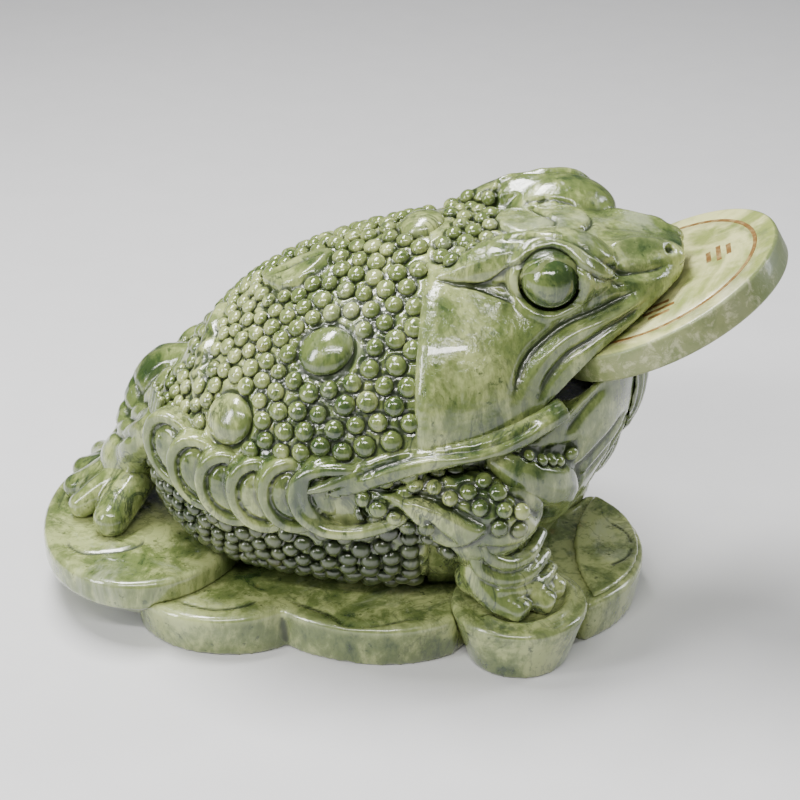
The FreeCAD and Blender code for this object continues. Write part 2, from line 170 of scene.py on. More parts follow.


# %% [markdown]
# ## A skin that can be carved
# CAD surfaces have large, uneven triangles, which show every push as a jag. A voxel remesh gives an even
# grid of small quads, and it also melts neighbouring masses together where one skin covers several. After
# that, each tool moves the vertices near a line along their own normals:
#
# * `groove` cuts a V-shaped line, as the edge of a burr does,
# * `fold` raises one side of a line and drops the other, so that one form seems to lie over the next,
# * `plate` lifts everything inside an outline, and
# * `swell` makes a soft bump or hollow.
#
# Shade is painted into the recesses, so the skin also stores how deep each vertex lies below its
# smoothed surroundings, and a layer of painted shade for other dark places.


# %% The skin and its tools
class Skin:
    """A finely meshed copy of carved masses, whose surface is worked like clay."""

    def __init__(self, name, covers, grid, melt=3, added=(), copied=True):
        self.name, self.covers = name, covers
        body = bmesh.new()
        for node in covers if copied else ():
            body.from_mesh(nodes[node].data)
        for mesh in added:
            body.from_mesh(mesh)
        bmesh.ops.remove_doubles(body, verts=body.verts, dist=0.005 * MM)
        mesh = bpy.data.meshes.new(name)
        body.to_mesh(mesh)
        body.free()
        rough = bpy.data.objects.new(name, mesh)
        bpy.context.scene.collection.objects.link(rough)
        remesh = rough.modifiers.new("even grid", "REMESH")
        remesh.mode, remesh.voxel_size = "VOXEL", grid * MM
        soften = rough.modifiers.new("melt", "SMOOTH")
        soften.factor, soften.iterations = 0.5, melt
        worked = rough.evaluated_get(bpy.context.evaluated_depsgraph_get())
        self.mesh = bpy.data.meshes.new_from_object(worked)
        bpy.data.objects.remove(rough)
        self.read()

    def read(self):
        """Takes the mesh as it is now as the ground that the lines are laid on."""
        count = len(self.mesh.vertices)
        flat = np.zeros(count * 3)
        self.mesh.vertices.foreach_get("co", flat)
        self.ground = flat.reshape(-1, 3) / MM
        self.mesh.vertices.foreach_get("normal", flat)
        self.normals = flat.reshape(-1, 3).copy()
        self.points = self.ground.copy()
        # Painted shade, added to the recess depth, which darkens the stone's colour.
        self.painted_shade = np.zeros(count)
        self.tree = BVHTree.FromPolygons(self.ground.tolist(), [p.vertices[:] for p in self.mesh.polygons])

    def laid(self, points, closed=False):
        """A smooth line through the points, laid down on the skin."""
        return self.under(through(points, closed=closed))

    def under(self, points):
        """The skin's nearest point to each of the points."""
        return np.array([self.tree.find_nearest(p)[0] for p in points])

    def out_at(self, points):
        """The way the skin faces where it is nearest to each of the points."""
        return np.array([self.tree.find_nearest(p)[1] for p in points])

    def near(self, line, reach):
        """The vertices within reach of a line, each with its nearest sample and its distance."""
        box = ((self.ground > line.min(0) - reach) & (self.ground < line.max(0) + reach)).all(1)
        picked = np.flatnonzero(box)
        best, which = np.full(len(picked), np.inf), np.zeros(len(picked), int)
        for i, sample in enumerate(line):
            away = np.linalg.norm(self.ground[picked] - sample, axis=1)
            closer = away < best
            best[closer], which[closer] = away[closer], i
        kept = best < reach
        return picked[kept], which[kept], best[kept]

    def push(self, picked, amount):
        """Moves the picked vertices out along their normals."""
        self.points[picked] += self.normals[picked] * np.asarray(amount)[:, None]

    def groove(self, points, width=1.8, depth=1.2, taper=0.2):
        """A V-shaped cut along a line, running out to nothing at its ends."""
        line = self.laid(points)
        picked, which, away = self.near(line, width)
        self.push(picked, -depth * run_out(which / len(line), taper) * (1 - away / width) ** 1.4)

    def fold(self, points, reach=7.0, height=1.6, drop=0.8, taper=0.2, flip=False):
        """Raises the skin on the right of a line, seen along it from outside, and cuts under its edge."""
        line = self.laid(points)
        picked, which, away = self.near(line, reach)
        right = np.cross(np.gradient(line, axis=0)[which], self.normals[picked])
        right /= np.linalg.norm(right, axis=1)[:, None] + 1e-9
        side = ((self.ground[picked] - line[which]) * right).sum(1) * (-1 if flip else 1)
        over = eased(side / 1.8)
        raised = height * (1 - away / reach) ** 1.6
        cut = -drop * np.clip(1 - away / 2.6, 0, 1) ** 1.3
        self.push(picked, run_out(which / len(line), taper) * (over * raised + (1 - over) * cut))

    def plate(self, outline, height=1.4, edge=1.3, moat=0.7, deep=14.0):
        """Lifts or sinks what lies inside a closed outline, with a cut round it."""
        line = self.laid(outline, closed=True)
        centre = line.mean(0)
        across, up, out = np.linalg.svd(line - centre)[2]
        reach = np.linalg.norm(line - centre, axis=1).max() + 4
        close = np.linalg.norm(self.ground - centre, axis=1) < reach
        level = np.abs((self.ground - centre) @ out) < deep
        turned_to_us = np.abs(self.normals @ out) > 0.25
        picked = np.flatnonzero(close & level & turned_to_us)
        flat = np.c_[(self.ground[picked] - centre) @ across, (self.ground[picked] - centre) @ up]
        ring = np.c_[(line - centre) @ across, (line - centre) @ up]
        inside = np.zeros(len(picked), bool)
        away = np.full(len(picked), np.inf)
        for (x0, y0), (x1, y1) in zip(ring, np.roll(ring, -1, axis=0)):
            if y0 != y1:
                crossing = (flat[:, 1] > min(y0, y1)) & (flat[:, 1] <= max(y0, y1))
                inside ^= crossing & (flat[:, 0] < x0 + (flat[:, 1] - y0) * (x1 - x0) / (y1 - y0))
            away = np.minimum(away, np.hypot(flat[:, 0] - x0, flat[:, 1] - y0))
        lift = height * eased(away / edge)
        cut = -moat * np.clip(1 - away / 1.8, 0, 1) ** 1.2
        self.push(picked, np.where(inside, lift, cut))

    def swell(self, centre, radius, height):
        """A soft bump, or a hollow where the height is negative."""
        away = np.linalg.norm(self.ground - np.array(centre, float), axis=1)
        picked = np.flatnonzero(away < radius)
        self.push(picked, height * (1 - (away[picked] / radius) ** 2) ** 2)

    def wobble(self, height=0.3, size=24.0, seed=0.0):
        """The faint unevenness that hand grinding leaves, which makes the highlights wander."""
        lift = [noise.noise(Vector(p) / size + Vector((seed, 0, 0))) for p in self.ground]
        self.push(np.arange(len(self.ground)), height * np.array(lift))

    def clear_ball(self, centre, radius):
        """Leaves the space of a ball free: what reaches into it moves out to its surface."""
        offset = self.points - centre
        away = np.linalg.norm(offset, axis=1)
        picked = np.flatnonzero(away < radius)
        self.points[picked] = centre + offset[picked] * (radius / away[picked])[:, None]

    def bury(self, x, way, depth=3.0):
        """Sinks the flat face at x into the neighbour, so that only a crease shows between the two."""
        picked = (np.abs(self.ground[:, 0] - x) < 1.6) & (self.normals[:, 0] * way > 0.75)
        self.points[picked, 0] += way * depth

    def relaxed(self, points, rounds):
        """The points after each has moved to the middle of its neighbours a few times."""
        edges = np.zeros(len(self.mesh.edges) * 2, int)
        self.mesh.edges.foreach_get("vertices", edges)
        a, b = edges.reshape(-1, 2).T
        degree = np.maximum(np.bincount(np.r_[a, b], minlength=len(points)), 1)[:, None]
        for _ in range(rounds):
            other = np.r_[points[b], points[a]]
            sums = [np.bincount(np.r_[a, b], other[:, i], len(points)) for i in range(3)]
            points = np.array(sums).T / degree
        return points

    def polish(self, picked, rounds=6):
        """Smooths the picked vertices only."""
        self.points[picked] = self.relaxed(self.points, rounds)[picked]

    def recess(self, rounds=14):
        """How far each vertex lies below its smoothed surroundings, in millimetres."""
        return ((self.relaxed(self.points, rounds) - self.points) * self.normals).sum(1)

    def keep(self):
        """Writes the worked surface back to the mesh."""
        self.mesh.vertices.foreach_set("co", within_box(self.points * MM).ravel())
        self.mesh.update()

    def finish(self, body="carving", slot="jade"):
        """Makes the skin a shown piece that stands for the masses it covers."""
        self.keep()
        depth = self.mesh.attributes.new("recess", "FLOAT", "POINT")
        # The recess depth and the painted shade go to the shader, which darkens the colour with them.
        depth.data.foreach_set("value", (self.recess() + self.painted_shade).astype(np.float32))
        for polygon in self.mesh.polygons:
            polygon.use_smooth = True
        piece = bpy.data.objects.new(self.name, self.mesh)
        bpy.context.scene.collection.objects.link(piece)
        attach(piece, body)
        if self.covers:
            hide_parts(*self.covers)
        print(f"{self.name}: {len(self.mesh.polygons)} faces")
        return piece


def grid(fine):
    return fine * 1.0


print("skins use", "their full grid")


# %% [markdown]
# ## Clay strokes
# Toes, straps and folds are rounded forms that taper along a curve. A row of balls that overlap, melted
# together by the voxel remesh of the skin, gives such a form without any work at the ends or the joints.


# %% Clay strokes
def clay(*strokes):
    """One mesh of overlapping balls along strokes, each a list of (x, y, z, radius)."""
    lump = bmesh.new()
    for stroke in strokes:
        for x, y, z, radius in through(stroke, gap=1.0):
            place = Matrix.Translation(Vector((x, y, z)) * MM)
            bmesh.ops.create_icosphere(lump, subdivisions=2, radius=radius * MM, matrix=place)
    mesh = bpy.data.meshes.new("clay")
    lump.to_mesh(mesh)
    lump.free()
    return mesh


# %% [markdown]
# ## Lathe work
# The coins, the eyes and the room's floor are all round, so each is a profile spun about Z. A cylinder with
# bevels could do for the coin, but a profile also gives the channel, the crown and the soft rim in one go.
# The form is made lying flat and is then put in its place by a matrix on its vertices.


# %% Lathe work
def turned(profile, steps=96):
    """A turned form: a profile of (radius, height) points, spun about Z into a closed mesh."""
    form = bmesh.new()
    last = None
    for radius, height in profile:
        vertex = form.verts.new((radius * MM, 0, height * MM))
        if last:
            form.edges.new((last, vertex))
        last = vertex
    spun = {"axis": (0, 0, 1), "cent": (0, 0, 0), "steps": steps, "angle": math.tau, "use_merge": True}
    bmesh.ops.spin(form, geom=form.verts[:] + form.edges[:], **spun)
    bmesh.ops.remove_doubles(form, verts=form.verts, dist=0.002 * MM)
    bmesh.ops.recalc_face_normals(form, faces=form.faces)
    return form


def bar(form, turn, middle, size):
    """Adds one straight bar to a form that lies flat, at a place that is turned about Z."""
    place = Matrix.Rotation(turn, 4, "Z") @ Matrix.Translation(Vector(middle) * MM)
    bmesh.ops.create_cube(form, size=1.0, matrix=place @ Matrix.Diagonal((*[s * MM for s in size], 1)))


def placed(form, name, matrix):
    """A bmesh written to a mesh, with its place in its vertices."""
    bmesh.ops.transform(form, matrix=matrix, verts=form.verts)
    mesh = bpy.data.meshes.new(name)
    form.to_mesh(mesh)
    form.free()
    return mesh


def facing(centre, out, turn=0.0):
    """A place at centre, in millimetres, with its Z along out."""
    aim = Vector(out).to_track_quat("Z", "Y").to_matrix().to_4x4()
    return Matrix.Translation(Vector(centre) * MM) @ aim @ Matrix.Rotation(turn, 4, "Z")


# %% [markdown]
# ## From a mesh to a piece
# A mesh becomes part of the model when an object shows it, rides on one of the two bodies, and stands for
# the plain masses it covers. Its points are held inside the frame's box, because polished stone can only be
# smaller than the block it was cut from.


# %% Shown pieces
def shown(name, mesh, covers=(), body="carving", slot="jade", smooth=True):
    """Shows a finished mesh as a piece of the object."""
    spots = np.zeros(len(mesh.vertices) * 3)
    mesh.vertices.foreach_get("co", spots)
    mesh.vertices.foreach_set("co", within_box(spots.reshape(-1, 3)).ravel())
    for polygon in mesh.polygons:
        polygon.use_smooth = smooth
    piece = bpy.data.objects.new(name, mesh)
    bpy.context.scene.collection.objects.link(piece)
    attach(piece, body)
    if covers:
        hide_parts(*covers)
    print(f"{name}: {len(mesh.polygons)} faces")
    return piece


pieces = {}


# %% [markdown]
# ## The string of coins
# A string of coins lies round the rump like roof tiles: each one shows its rear edge, and goes under the
# one ahead. They are turned one by one, and a skin melts them into a single relief. The strap that holds
# them loops round the first coin and is pleated behind the last.


# %% The string of coins
STRING_R = 15.2
STRING_TURN = 23.0  # how far each coin is turned to the rear, which lifts its rear edge
STRING_LEAN = 0.42
STRING = [
    # centre, the way it faces in degrees from the snout
    ((-19, -68.5, 80), -90),
    ((-34.5, -67.5, 77.5), -94),
    ((-47, -65, 75.5), -100),
    ((-60, -60, 75), -109),
    ((-73, -52.5, 77), -121),
    ((-86, -41, 80), -137),
]


def string_coin(centre, facing_angle, flip):
    """One coin of the string: a broad rim, a narrow channel, and a low crowned field with plain bars."""
    profile = [(0.01, 1.3), (4.0, 1.2), (7.5, 0.8), (9.0, 0.2), (9.5, -1.9), (10.5, -1.9), (11.0, 0.6)]
    profile += [(11.8, 1.1), (14.2, 1.0), (STRING_R, -0.1), (STRING_R, -7.5), (0.01, -7.5)]
    angle = math.radians(facing_angle + STRING_TURN)
    out = Vector((math.cos(angle), math.sin(angle) * flip, 0.02))
    form = turned(profile, 64)
    for quarter in range(4):
        for step in (-1.6, 0.0, 1.6):
            bar(form, quarter * math.pi / 2 + 0.7, (6.0, step, 0.9), (3.4, 0.7, 1.2))
    oval = Matrix.Diagonal((0.86, 1.12, 1, 1))
    return placed(form, "string coin", facing(centre, out, STRING_LEAN * flip) @ oval)


def coin_string(side):
    """The whole string on one side, as a skin."""
    flip = -1 if side == "left" else 1
    coins = [string_coin((x, flip * y, z), turn, flip) for (x, y, z), turn in STRING]
    loop = [(-9, -71, 92, 2.0), (-16, -72, 93, 2.6), (-24, -71.5, 92, 2.9), (-31, -71, 88, 3.0)]
    loop += [(-34, -71, 80, 3.0), (-31, -71.5, 72, 3.0), (-23, -72, 66.5, 3.0), (-12, -72.5, 66, 3.0)]
    loop += [(-1, -72.5, 69, 2.8), (7, -72.5, 73, 2.2)]
    pleats = []
    for i in range(4):
        y = -27 + 4.2 * i
        pleats.append([(-92 - i * 1.6, y, 95, 1.8), (-94 - i * 1.4, y, 86, 2.2)])
    strap = clay(*on_side(side, [loop] + pleats))
    node = f"coin_string_{side}"
    return Skin(node, [node], grid(0.75), melt=1, added=coins + [strap], copied=False)


for side, place in SIDES:
    pieces[f"coin_string_{side}"] = coin_string(side).finish()


# %% [markdown]
# ## Torso
# The warty back. Its own skin carries the leaf on the spine, the rolled fold on the rump and the cuts round
# the bosses. The warts are separate small domes, because a burr cuts each one crisp. At the neck the skin
# is sunk into the head's, so that the two masses meet in a crease and not in a gap.


# %% Torso
torso = Skin("torso", ["torso"], grid(1.02))
torso.wobble(0.35, 26)
LEAF = [(-54, -5, 139), (-46, -3, 143), (-36, -2, 148), (-25, -5, 152), (-27, -14, 150), (-35, -20, 145)]
LEAF += [(-44, -19, 141), (-51, -12, 139)]
LEAF_VEIN = [(-53, -6, 139), (-43, -9, 144), (-35, -8, 148), (-26, -8, 151)]
RUMP_FOLD = [(-68, 2, 125), (-69, -12, 121), (-71, -24, 115), (-73, -35, 107)]
RUMP_FOLD += [(-78, -33, 100), (-78, -20, 108), (-76, -8, 116), (-74, 2, 121)]
torso.plate(LEAF, height=2.8, edge=2.4, moat=1.8)
torso.groove(LEAF_VEIN, width=2.4, depth=2.2)
torso.plate(RUMP_FOLD, height=2.8, edge=3.5, moat=1.4)
near_neck = np.flatnonzero(torso.ground[:, 0] > NECK_X - 4)
torso.push(near_neck, -0.9 * ((torso.ground[near_neck, 0] - NECK_X + 4) / 4) ** 2)
torso.bury(NECK_X, 1)
torso.polish(near_neck)
print("torso vertices", len(torso.ground), "of them near the neck", len(near_neck))


# %% [markdown]
# ## Where warts go
# The carver fills the back with burr-cut domes, as close as they go, but never in rows. Points are dropped
# at random where there is room, then pushed apart a few times while they are held on the skin. That gives
# the same close, uneven packing. A regular grid would show its rows at once. Each dome then takes its size
# from its nearest neighbours, so that hardly any ground is left bare.


# %% Scatter
SEED_GAP = 0.42  # a seed is dropped where this share of both spacings is clear
REST_GAP = 0.54  # the seeds then push each other apart to this share
CROWDED = 0.66  # and one of a pair that is still closer than this goes


def scatter(skin, room, free, seed):
    """Close-packed places on a skin. room gives the spacing at a point, free says where they may be."""
    draw = random.Random(seed)
    order = list(range(len(skin.ground)))
    draw.shuffle(order)
    allowed = free(skin.ground)
    gaps = room(skin.ground)
    chosen, chosen_gap = np.zeros((0, 3)), np.zeros(0)
    for i in order:
        p = skin.ground[i]
        if not allowed[i]:
            continue
        if len(chosen) and (((chosen - p) ** 2).sum(1) < (SEED_GAP * (chosen_gap + gaps[i])) ** 2).any():
            continue
        chosen, chosen_gap = np.vstack([chosen, p]), np.append(chosen_gap, gaps[i])
    for _ in range(40):
        offset = chosen[:, None] - chosen[None]
        away = np.sqrt((offset**2).sum(2)) + np.eye(len(chosen)) * 99
        wanted = REST_GAP * (chosen_gap[:, None] + chosen_gap[None])
        press = np.clip(wanted - away, 0, None) / away
        moved = chosen + 0.25 * (offset * press[:, :, None]).sum(1)
        landed = skin.under(moved)
        chosen = np.where(free(landed)[:, None], landed, chosen)
        chosen_gap = room(chosen)
    away = np.sqrt(((chosen[:, None] - chosen[None]) ** 2).sum(2)) + np.eye(len(chosen)) * 99
    crowded = away < CROWDED * chosen_gap[:, None]
    keep = ~(np.triu(crowded, 1).any(1))
    away, spacing = away[keep][:, keep], chosen_gap[keep]
    close = np.sort(away, axis=1)[:, :2].mean(1)
    radii = np.clip(close * 0.5, 0.4 * spacing, 0.52 * spacing)
    return chosen[keep], skin.out_at(chosen[keep]), radii


# %% [markdown]
# ## Domes
# A wart is what a hollow burr leaves: the top of a ball in a ring-shaped cut. The back alone has
# about five hundred, so the mold has only a few dozen faces, and smooth shading does the rest. Instances
# could share one mesh, but a piece has to be one plain mesh, so the copies are joined. Each is turned and
# sized a little differently, as by hand. Its socket is pushed into the skin below, and shade is painted
# between the domes and on their feet.


# %% Domes
def bead_mold(around=12, up=8):
    """A small dome of a few dozen faces: the top of a ball, cut off a little below its middle."""
    ball = bmesh.new()
    bmesh.ops.create_uvsphere(ball, u_segments=around, v_segments=up, radius=1.0)
    cut = {"plane_co": (0, 0, -0.25), "plane_no": (0, 0, -1), "clear_outer": True}
    bmesh.ops.bisect_plane(ball, geom=ball.verts[:] + ball.edges[:] + ball.faces[:], **cut)
    mesh = bpy.data.meshes.new("bead")
    ball.to_mesh(mesh)
    ball.free()
    return mesh


def heaped(mold, name, matrices):
    """One mesh of many copies of a mold, each with its own place."""
    heap = bmesh.new()
    for matrix in matrices:
        one = mold.copy()
        one.transform(matrix)
        heap.from_mesh(one)
        bpy.data.meshes.remove(one)
    mesh = bpy.data.meshes.new(name)
    heap.to_mesh(mesh)
    heap.free()
    return mesh


def painted_belly_shade(points):
    """How much painted shade darkens the belly, more the lower it is."""
    return 0.56 * eased((80 - points[:, 2]) / 16)


MOLD = bead_mold()
DOME_FLAT = 0.72  # a dome's height as a share of its radius
SOCKET = 0.9
SHADE_REACH = 2.4


def beads(name, skin, places, normals, radii, seed):
    """Sets a dome at each place, cuts its socket into the skin, and shows them all as one piece."""
    draw = random.Random(seed)
    matrices = []
    for place, normal, radius in zip(places, normals, radii):
        wide = radius * MM * draw.uniform(0.88, 1.06)
        size = Matrix.Diagonal((wide, wide * draw.uniform(0.93, 1.0), radius * MM * DOME_FLAT, 1))
        seat = Vector(place) + Vector(normal) * (-0.04 * radius)
        matrices.append(facing(seat, normal, draw.uniform(0, math.tau)) @ size)
        away = np.linalg.norm(skin.ground - place, axis=1)
        near = np.flatnonzero(away < radius + SHADE_REACH)
        skin.push(near, -SOCKET * eased((radius + 1.2 - away[near]) / 1.2))
        # Painted shade in a ring round each dome, between the domes.
        painted_shade = 0.75 * eased((radius + SHADE_REACH - away[near]) / 1.6)
        skin.painted_shade[near] = np.maximum(skin.painted_shade[near], painted_shade)
    mesh = heaped(MOLD, name, matrices)
    piece = shown(name, mesh)
    heights = np.array([vertex.co.z for vertex in MOLD.vertices])
    # Painted shade on the foot of each dome, and more painted shade on the domes of the belly.
    foot = 1.3 * np.clip(0.35 - heights, 0, 1) ** 1.2
    painted_dome_shade = np.tile(foot, len(places)) + np.repeat(painted_belly_shade(places), len(heights))
    mesh.attributes.new("recess", "FLOAT", "POINT").data.foreach_set("value", painted_dome_shade.astype(np.float32))
    print(name, "domes", len(places), "radii", np.round([min(radii), max(radii)], 1))
    return piece


# %% [markdown]
# ## Warts on the back
# The back is covered from the neck to the rump, apart from the leaf, the rolled fold, the bosses, the strings
# and the thigh. Each of those keeps its own distance free. Sizes shrink towards the rump, as the carver
# changed to a smaller burr there.


# %% Warts on the back
BOSSES = [
    # place, radii along and across, turn
    ((-24, -49, 131), 11.0, 9.2, 0.6),
    ((-61, -51, 101), 10.4, 10.0, 0.2),
    ((-24, 49, 131), 11.0, 9.2, -0.6),
    ((-61, 51, 101), 10.4, 10.0, -0.2),
    ((8, 1, 164), 9.6, 9.2, 0.0),
]
LEAF_MIDDLE = [(-38, -10, 146), (-45, -10, 142), (-31, -9, 149)]
FOLD_MIDDLE = [(-74, -28, 108), (-74, -20, 115), (-72, -10, 119), (-71, -1, 122)]
BAND = [(-24, -70, 83), (-10, -71, 92), (4, -71, 97), (20, -70, 101)]
BAND += [(38, -65, 102), (50, -59, 104), (60, -52, 108), (66, -47, 112)]
string_centres = np.array([centre for centre, turn in STRING])
band_line = through(BAND)


def clear_of(points, centres, distance):
    """Which points are at least a distance from every centre."""
    return np.min(np.linalg.norm(points[:, None] - np.array(centres)[None], axis=2), axis=1) > distance


def to_right(points):
    """Points of both sides, brought over to the right one."""
    return np.where(points[:, 1:2] > 0, mirrored(points), points)


def torso_free(points):
    """Where the back may have warts: not on or beside any of the forms that lie on it."""
    right = to_right(points)
    ok = (points[:, 0] < NECK_X - 4.6) & (points[:, 2] > SLAB_TOP + 4.5)
    ok &= clear_of(right, string_centres, STRING_R + 3.4) & clear_of(right, band_line[::4], 7.5)
    for place, long, wide, turn in BOSSES:
        ok &= np.linalg.norm(points - place, axis=1) > long + 4.2
    ok &= clear_of(points, through(LEAF, 3, True), 3.8) & clear_of(points, LEAF_MIDDLE, 8)
    ok &= clear_of(points, through(RUMP_FOLD, 3, True), 3.8) & clear_of(points, FOLD_MIDDLE, 5)
    thigh = (points[:, 0] < -82) & (np.abs(points[:, 1] - 4) < 17) & (points[:, 2] > 44)
    return ok & ~thigh


def torso_room(points):
    """Wart spacing: 8.1 by the neck, down to 6.2 at the top of the rump."""
    back = eased((-points[:, 0] - 5) / 60)
    return 8.1 - 1.3 * back - 0.6 * eased((points[:, 2] - 120) / 30)


places, normals, radii = scatter(torso, torso_room, torso_free, seed=4)
pieces["warts_on_back"] = beads("warts_on_back", torso, places, normals, radii, 5)


# %% [markdown]
# ## Bosses
# Five large smooth ovals stand among the warts, each in a cut of its own. They are the same dome as a wart,
# with more faces, because a highlight this large shows every facet. With them the torso is done.


# %% Bosses
BOSS_HEIGHT = 5.4
boss_places = []
for place, long, wide, turn in BOSSES:
    seat, normal = torso.tree.find_nearest(Vector(place))[:2]
    away = np.linalg.norm(torso.ground - np.array(seat), axis=1)
    ring = np.flatnonzero(away < long + 3)
    torso.push(ring, -2.0 * eased((long + 3 - away[ring]) / 3))
    # Painted shade in the cut round each boss.
    torso.painted_shade[ring] = 0.8 * eased((long + 2.5 - away[ring]) / 2)
    size = Matrix.Diagonal((long * MM, wide * MM, BOSS_HEIGHT * MM, 1))
    boss_places.append(facing(seat - normal * 1.2, normal, turn) @ size)
bosses = heaped(bead_mold(40, 24), "bosses", boss_places)
pieces["back_bosses"] = shown("back_bosses", bosses, ["back_bosses"])
# Painted shade on the lower torso, darker towards the belly.
torso.painted_shade = np.maximum(torso.painted_shade, painted_belly_shade(torso.ground))
pieces["torso"] = torso.finish()


# %% [markdown]
# ## Head
# The head is smooth and full of long S-shaped lines: the brow that runs from the neck over the eye to the
# nose, the two lip folds that run back and down into the cheek, and a divided disc on the forehead. Each is
# a groove or a one-sided fold through a few points, and the left side repeats the right. The lines are drawn
# first, each named for the form that it cuts or raises.


# %% Lines of the head
BROW_TAIL = [(13, -31, 151, 5.0), (24, -31, 155.5, 6.5), (35, -30, 160, 8.5)]
BROW_TAIL += [(47, -29, 163, 10.0), (58, -28, 163, 10.5)]
CHEEK_TOP = [(14, -34, 155), (26, -36, 154), (36, -38, 152), (47, -40, 149)]
BROW_LINE = [(20, -32, 156), (28, -30, 158), (35, -27, 161), (42, -30, 167), (48, -32, 170), (56, -32, 172)]
BROW_LINE += [(63, -34, 172), (69, -35, 170), (76, -35, 166), (83, -31, 161), (92, -26, 158)]
EYELID = [(26, -37, 153), (36, -36, 156), (43, -39, 162), (49, -42, 167), (57, -44, 170), (65, -43, 169)]
EYELID += [(72, -41, 164), (80, -37, 158), (90, -31, 155)]
BROW_TOP = [(46, -30, 170), (52, -31, 172), (58, -32, 173), (65, -33, 173), (72, -34, 170), (79, -33, 166)]
LIP_CUT = [(96, -28, 153), (85, -35, 150), (77, -39, 147), (69, -41, 144), (63, -43, 141), (57, -46, 136)]
LIP_CUT += [(52, -49, 131), (49, -53, 124), (46, -57, 113)]
LIP_ROLL = [(97, -27, 150), (88, -35, 146), (79, -40, 143), (70, -42, 139)]
LIP_ROLL += [(62, -45, 134), (56, -48, 127), (52, -52, 118)]
LIP_LINE = [(97, -28, 148), (92, -33, 145), (83, -39, 141), (75, -43, 136)]
LIP_LINE += [(68, -45, 132), (63, -47, 127), (59, -49, 121), (56, -52, 112)]
NOSE_ROLL = [(78, -22, 165), (84, -16, 164), (91, -12, 164), (98, -11, 163), (103, -11, 161)]
NOSE_CUT = [(74, -35, 165), (80, -31, 161), (86, -28, 158.5)]
NOSE_CUT += [(92, -26, 158), (98, -22, 157), (105, -15, 156.5)]
NOSE_MIDDLE = [(76, 0, 166), (84, 0, 165), (93, 0, 164), (101, 0, 162)]
DISC = [(55 + 18.5 * math.cos(t), 15.5 * math.sin(t), 167) for t in np.arange(0, math.tau, math.tau / 14)]
DISC_CURVE = [(55, 15, 168), (50, 9, 168), (54, 1, 168), (60, -6, 168), (56, -14, 168)]
print("lip line", round(len(through(LIP_LINE)) * GAP), "mm long")


# %% [markdown]
# ## Carving the head
# Folds come before grooves, as the carver blocks out a form before cutting its lines. A fold is raised on one
# side only, and the side changes with the mirror. A groove with a negative depth is a roll. The disc on the
# forehead is a plate with an S-shaped cut and one bump and one hollow, which is all that is left of its
# pattern. Last, a rim is raised round each eye and the socket is cut to let the ball in.


# %% Head
tails = clay(*on_side("right", [BROW_TAIL]), *on_side("left", [BROW_TAIL]))
head = Skin("head", ["head"], grid(0.78), melt=5, added=[tails])
head.wobble(0.25, 22, 3)
for side, place in SIDES:
    head.fold(place(CHEEK_TOP), reach=11, height=1.7, drop=1.2, flip=side == "left")
    head.fold(place(BROW_LINE), reach=5, height=1.3, drop=1.3, taper=0.1, flip=side == "left")
    head.fold(place(EYELID), reach=4.5, height=0.9, drop=1.5, taper=0.12, flip=side == "right")
    head.groove(place(BROW_TOP), width=2.4, depth=1.2, taper=0.25)
    head.groove(place(LIP_CUT), width=4.0, depth=3.4, taper=0.25)
    head.groove(place(LIP_ROLL), width=4.6, depth=-1.8, taper=0.3)
    head.groove(place(LIP_LINE), width=2.8, depth=2.3, taper=0.2)
    head.groove(place(NOSE_ROLL), width=7.0, depth=-2.4, taper=0.3)
    head.groove(place(NOSE_CUT), width=4.2, depth=2.4, taper=0.25)
    nostril, cheek = place([(104, -12, 161), (27, -62, 130)])
    head.swell(nostril, 3.4, -3.6)
    head.swell(cheek, 34, 1.4)
head.groove(NOSE_MIDDLE, width=6, depth=1.4)
head.plate(DISC, height=1.7, edge=1.2, moat=1.1)
head.groove(DISC_CURVE, width=2.0, depth=1.6, taper=0)
head.swell((64, 5, 168), 3.6, 1.2)
head.swell((47, -5, 168), 3.6, -1.2)

near_neck = np.flatnonzero(head.ground[:, 0] < NECK_X + 3)
head.push(near_neck, -0.6 * ((NECK_X + 3 - head.ground[near_neck, 0]) / 3) ** 2)
head.bury(NECK_X, -1)
head.polish(near_neck)
for eye in (EYE, mirrored(EYE)):
    away = np.linalg.norm(head.ground - eye, axis=1)
    rim = np.flatnonzero(np.abs(away - EYE_R - 2.6) < 3.2)
    head.push(rim, 1.5 * eased(1 - np.abs(away[rim] - EYE_R - 2.6) / 3.2))
    # Painted shade in a ring round each eye socket.
    head.painted_shade[:] = np.maximum(head.painted_shade, eased((EYE_R + 1.6 - away) / 1.2))
    head.clear_ball(eye, EYE_R + 0.5)
print("head vertices", len(head.ground))


# %% [markdown]
# ## Warts on the head
# The warts of the back run on over the neck, to behind the disc. They are all cut with one burr here, so
# their spacing is even.


# %% Warts on the head
HEAD_SPACING = 6.9
brow = through(BROW_LINE[:5], 3)


def head_free(points):
    """The back of the head, above the cheeks and behind the brows and the disc."""
    ok = (points[:, 0] > NECK_X + 3.8) & (points[:, 0] < 36 - 0.12 * np.abs(points[:, 1]))
    ok &= (points[:, 2] > 152) & (np.abs(points[:, 1]) < 35 - 0.62 * (points[:, 0] - 14))
    ok &= clear_of(points, [BOSSES[-1][0]], 13.5) & clear_of(points, np.array(DISC), 4.5)
    return ok & clear_of(mirrored(points), brow, 4.2) & clear_of(points, brow, 4.2)


places, normals, radii = scatter(head, lambda p: np.full(len(p), HEAD_SPACING), head_free, seed=11)
pieces["warts_on_head"] = beads("warts_on_head", head, places, normals, radii, 12)
pieces["head"] = head.finish()


# %% [markdown]
# ## Eyes
# Each eye is a polished dome that fills its socket but for a dark ring. It could be carved into the head's
# skin, but a turned ball stays perfectly round, and the highlight on it needs that. It is a little smaller
# than its mass in the frame, which leaves the ring.


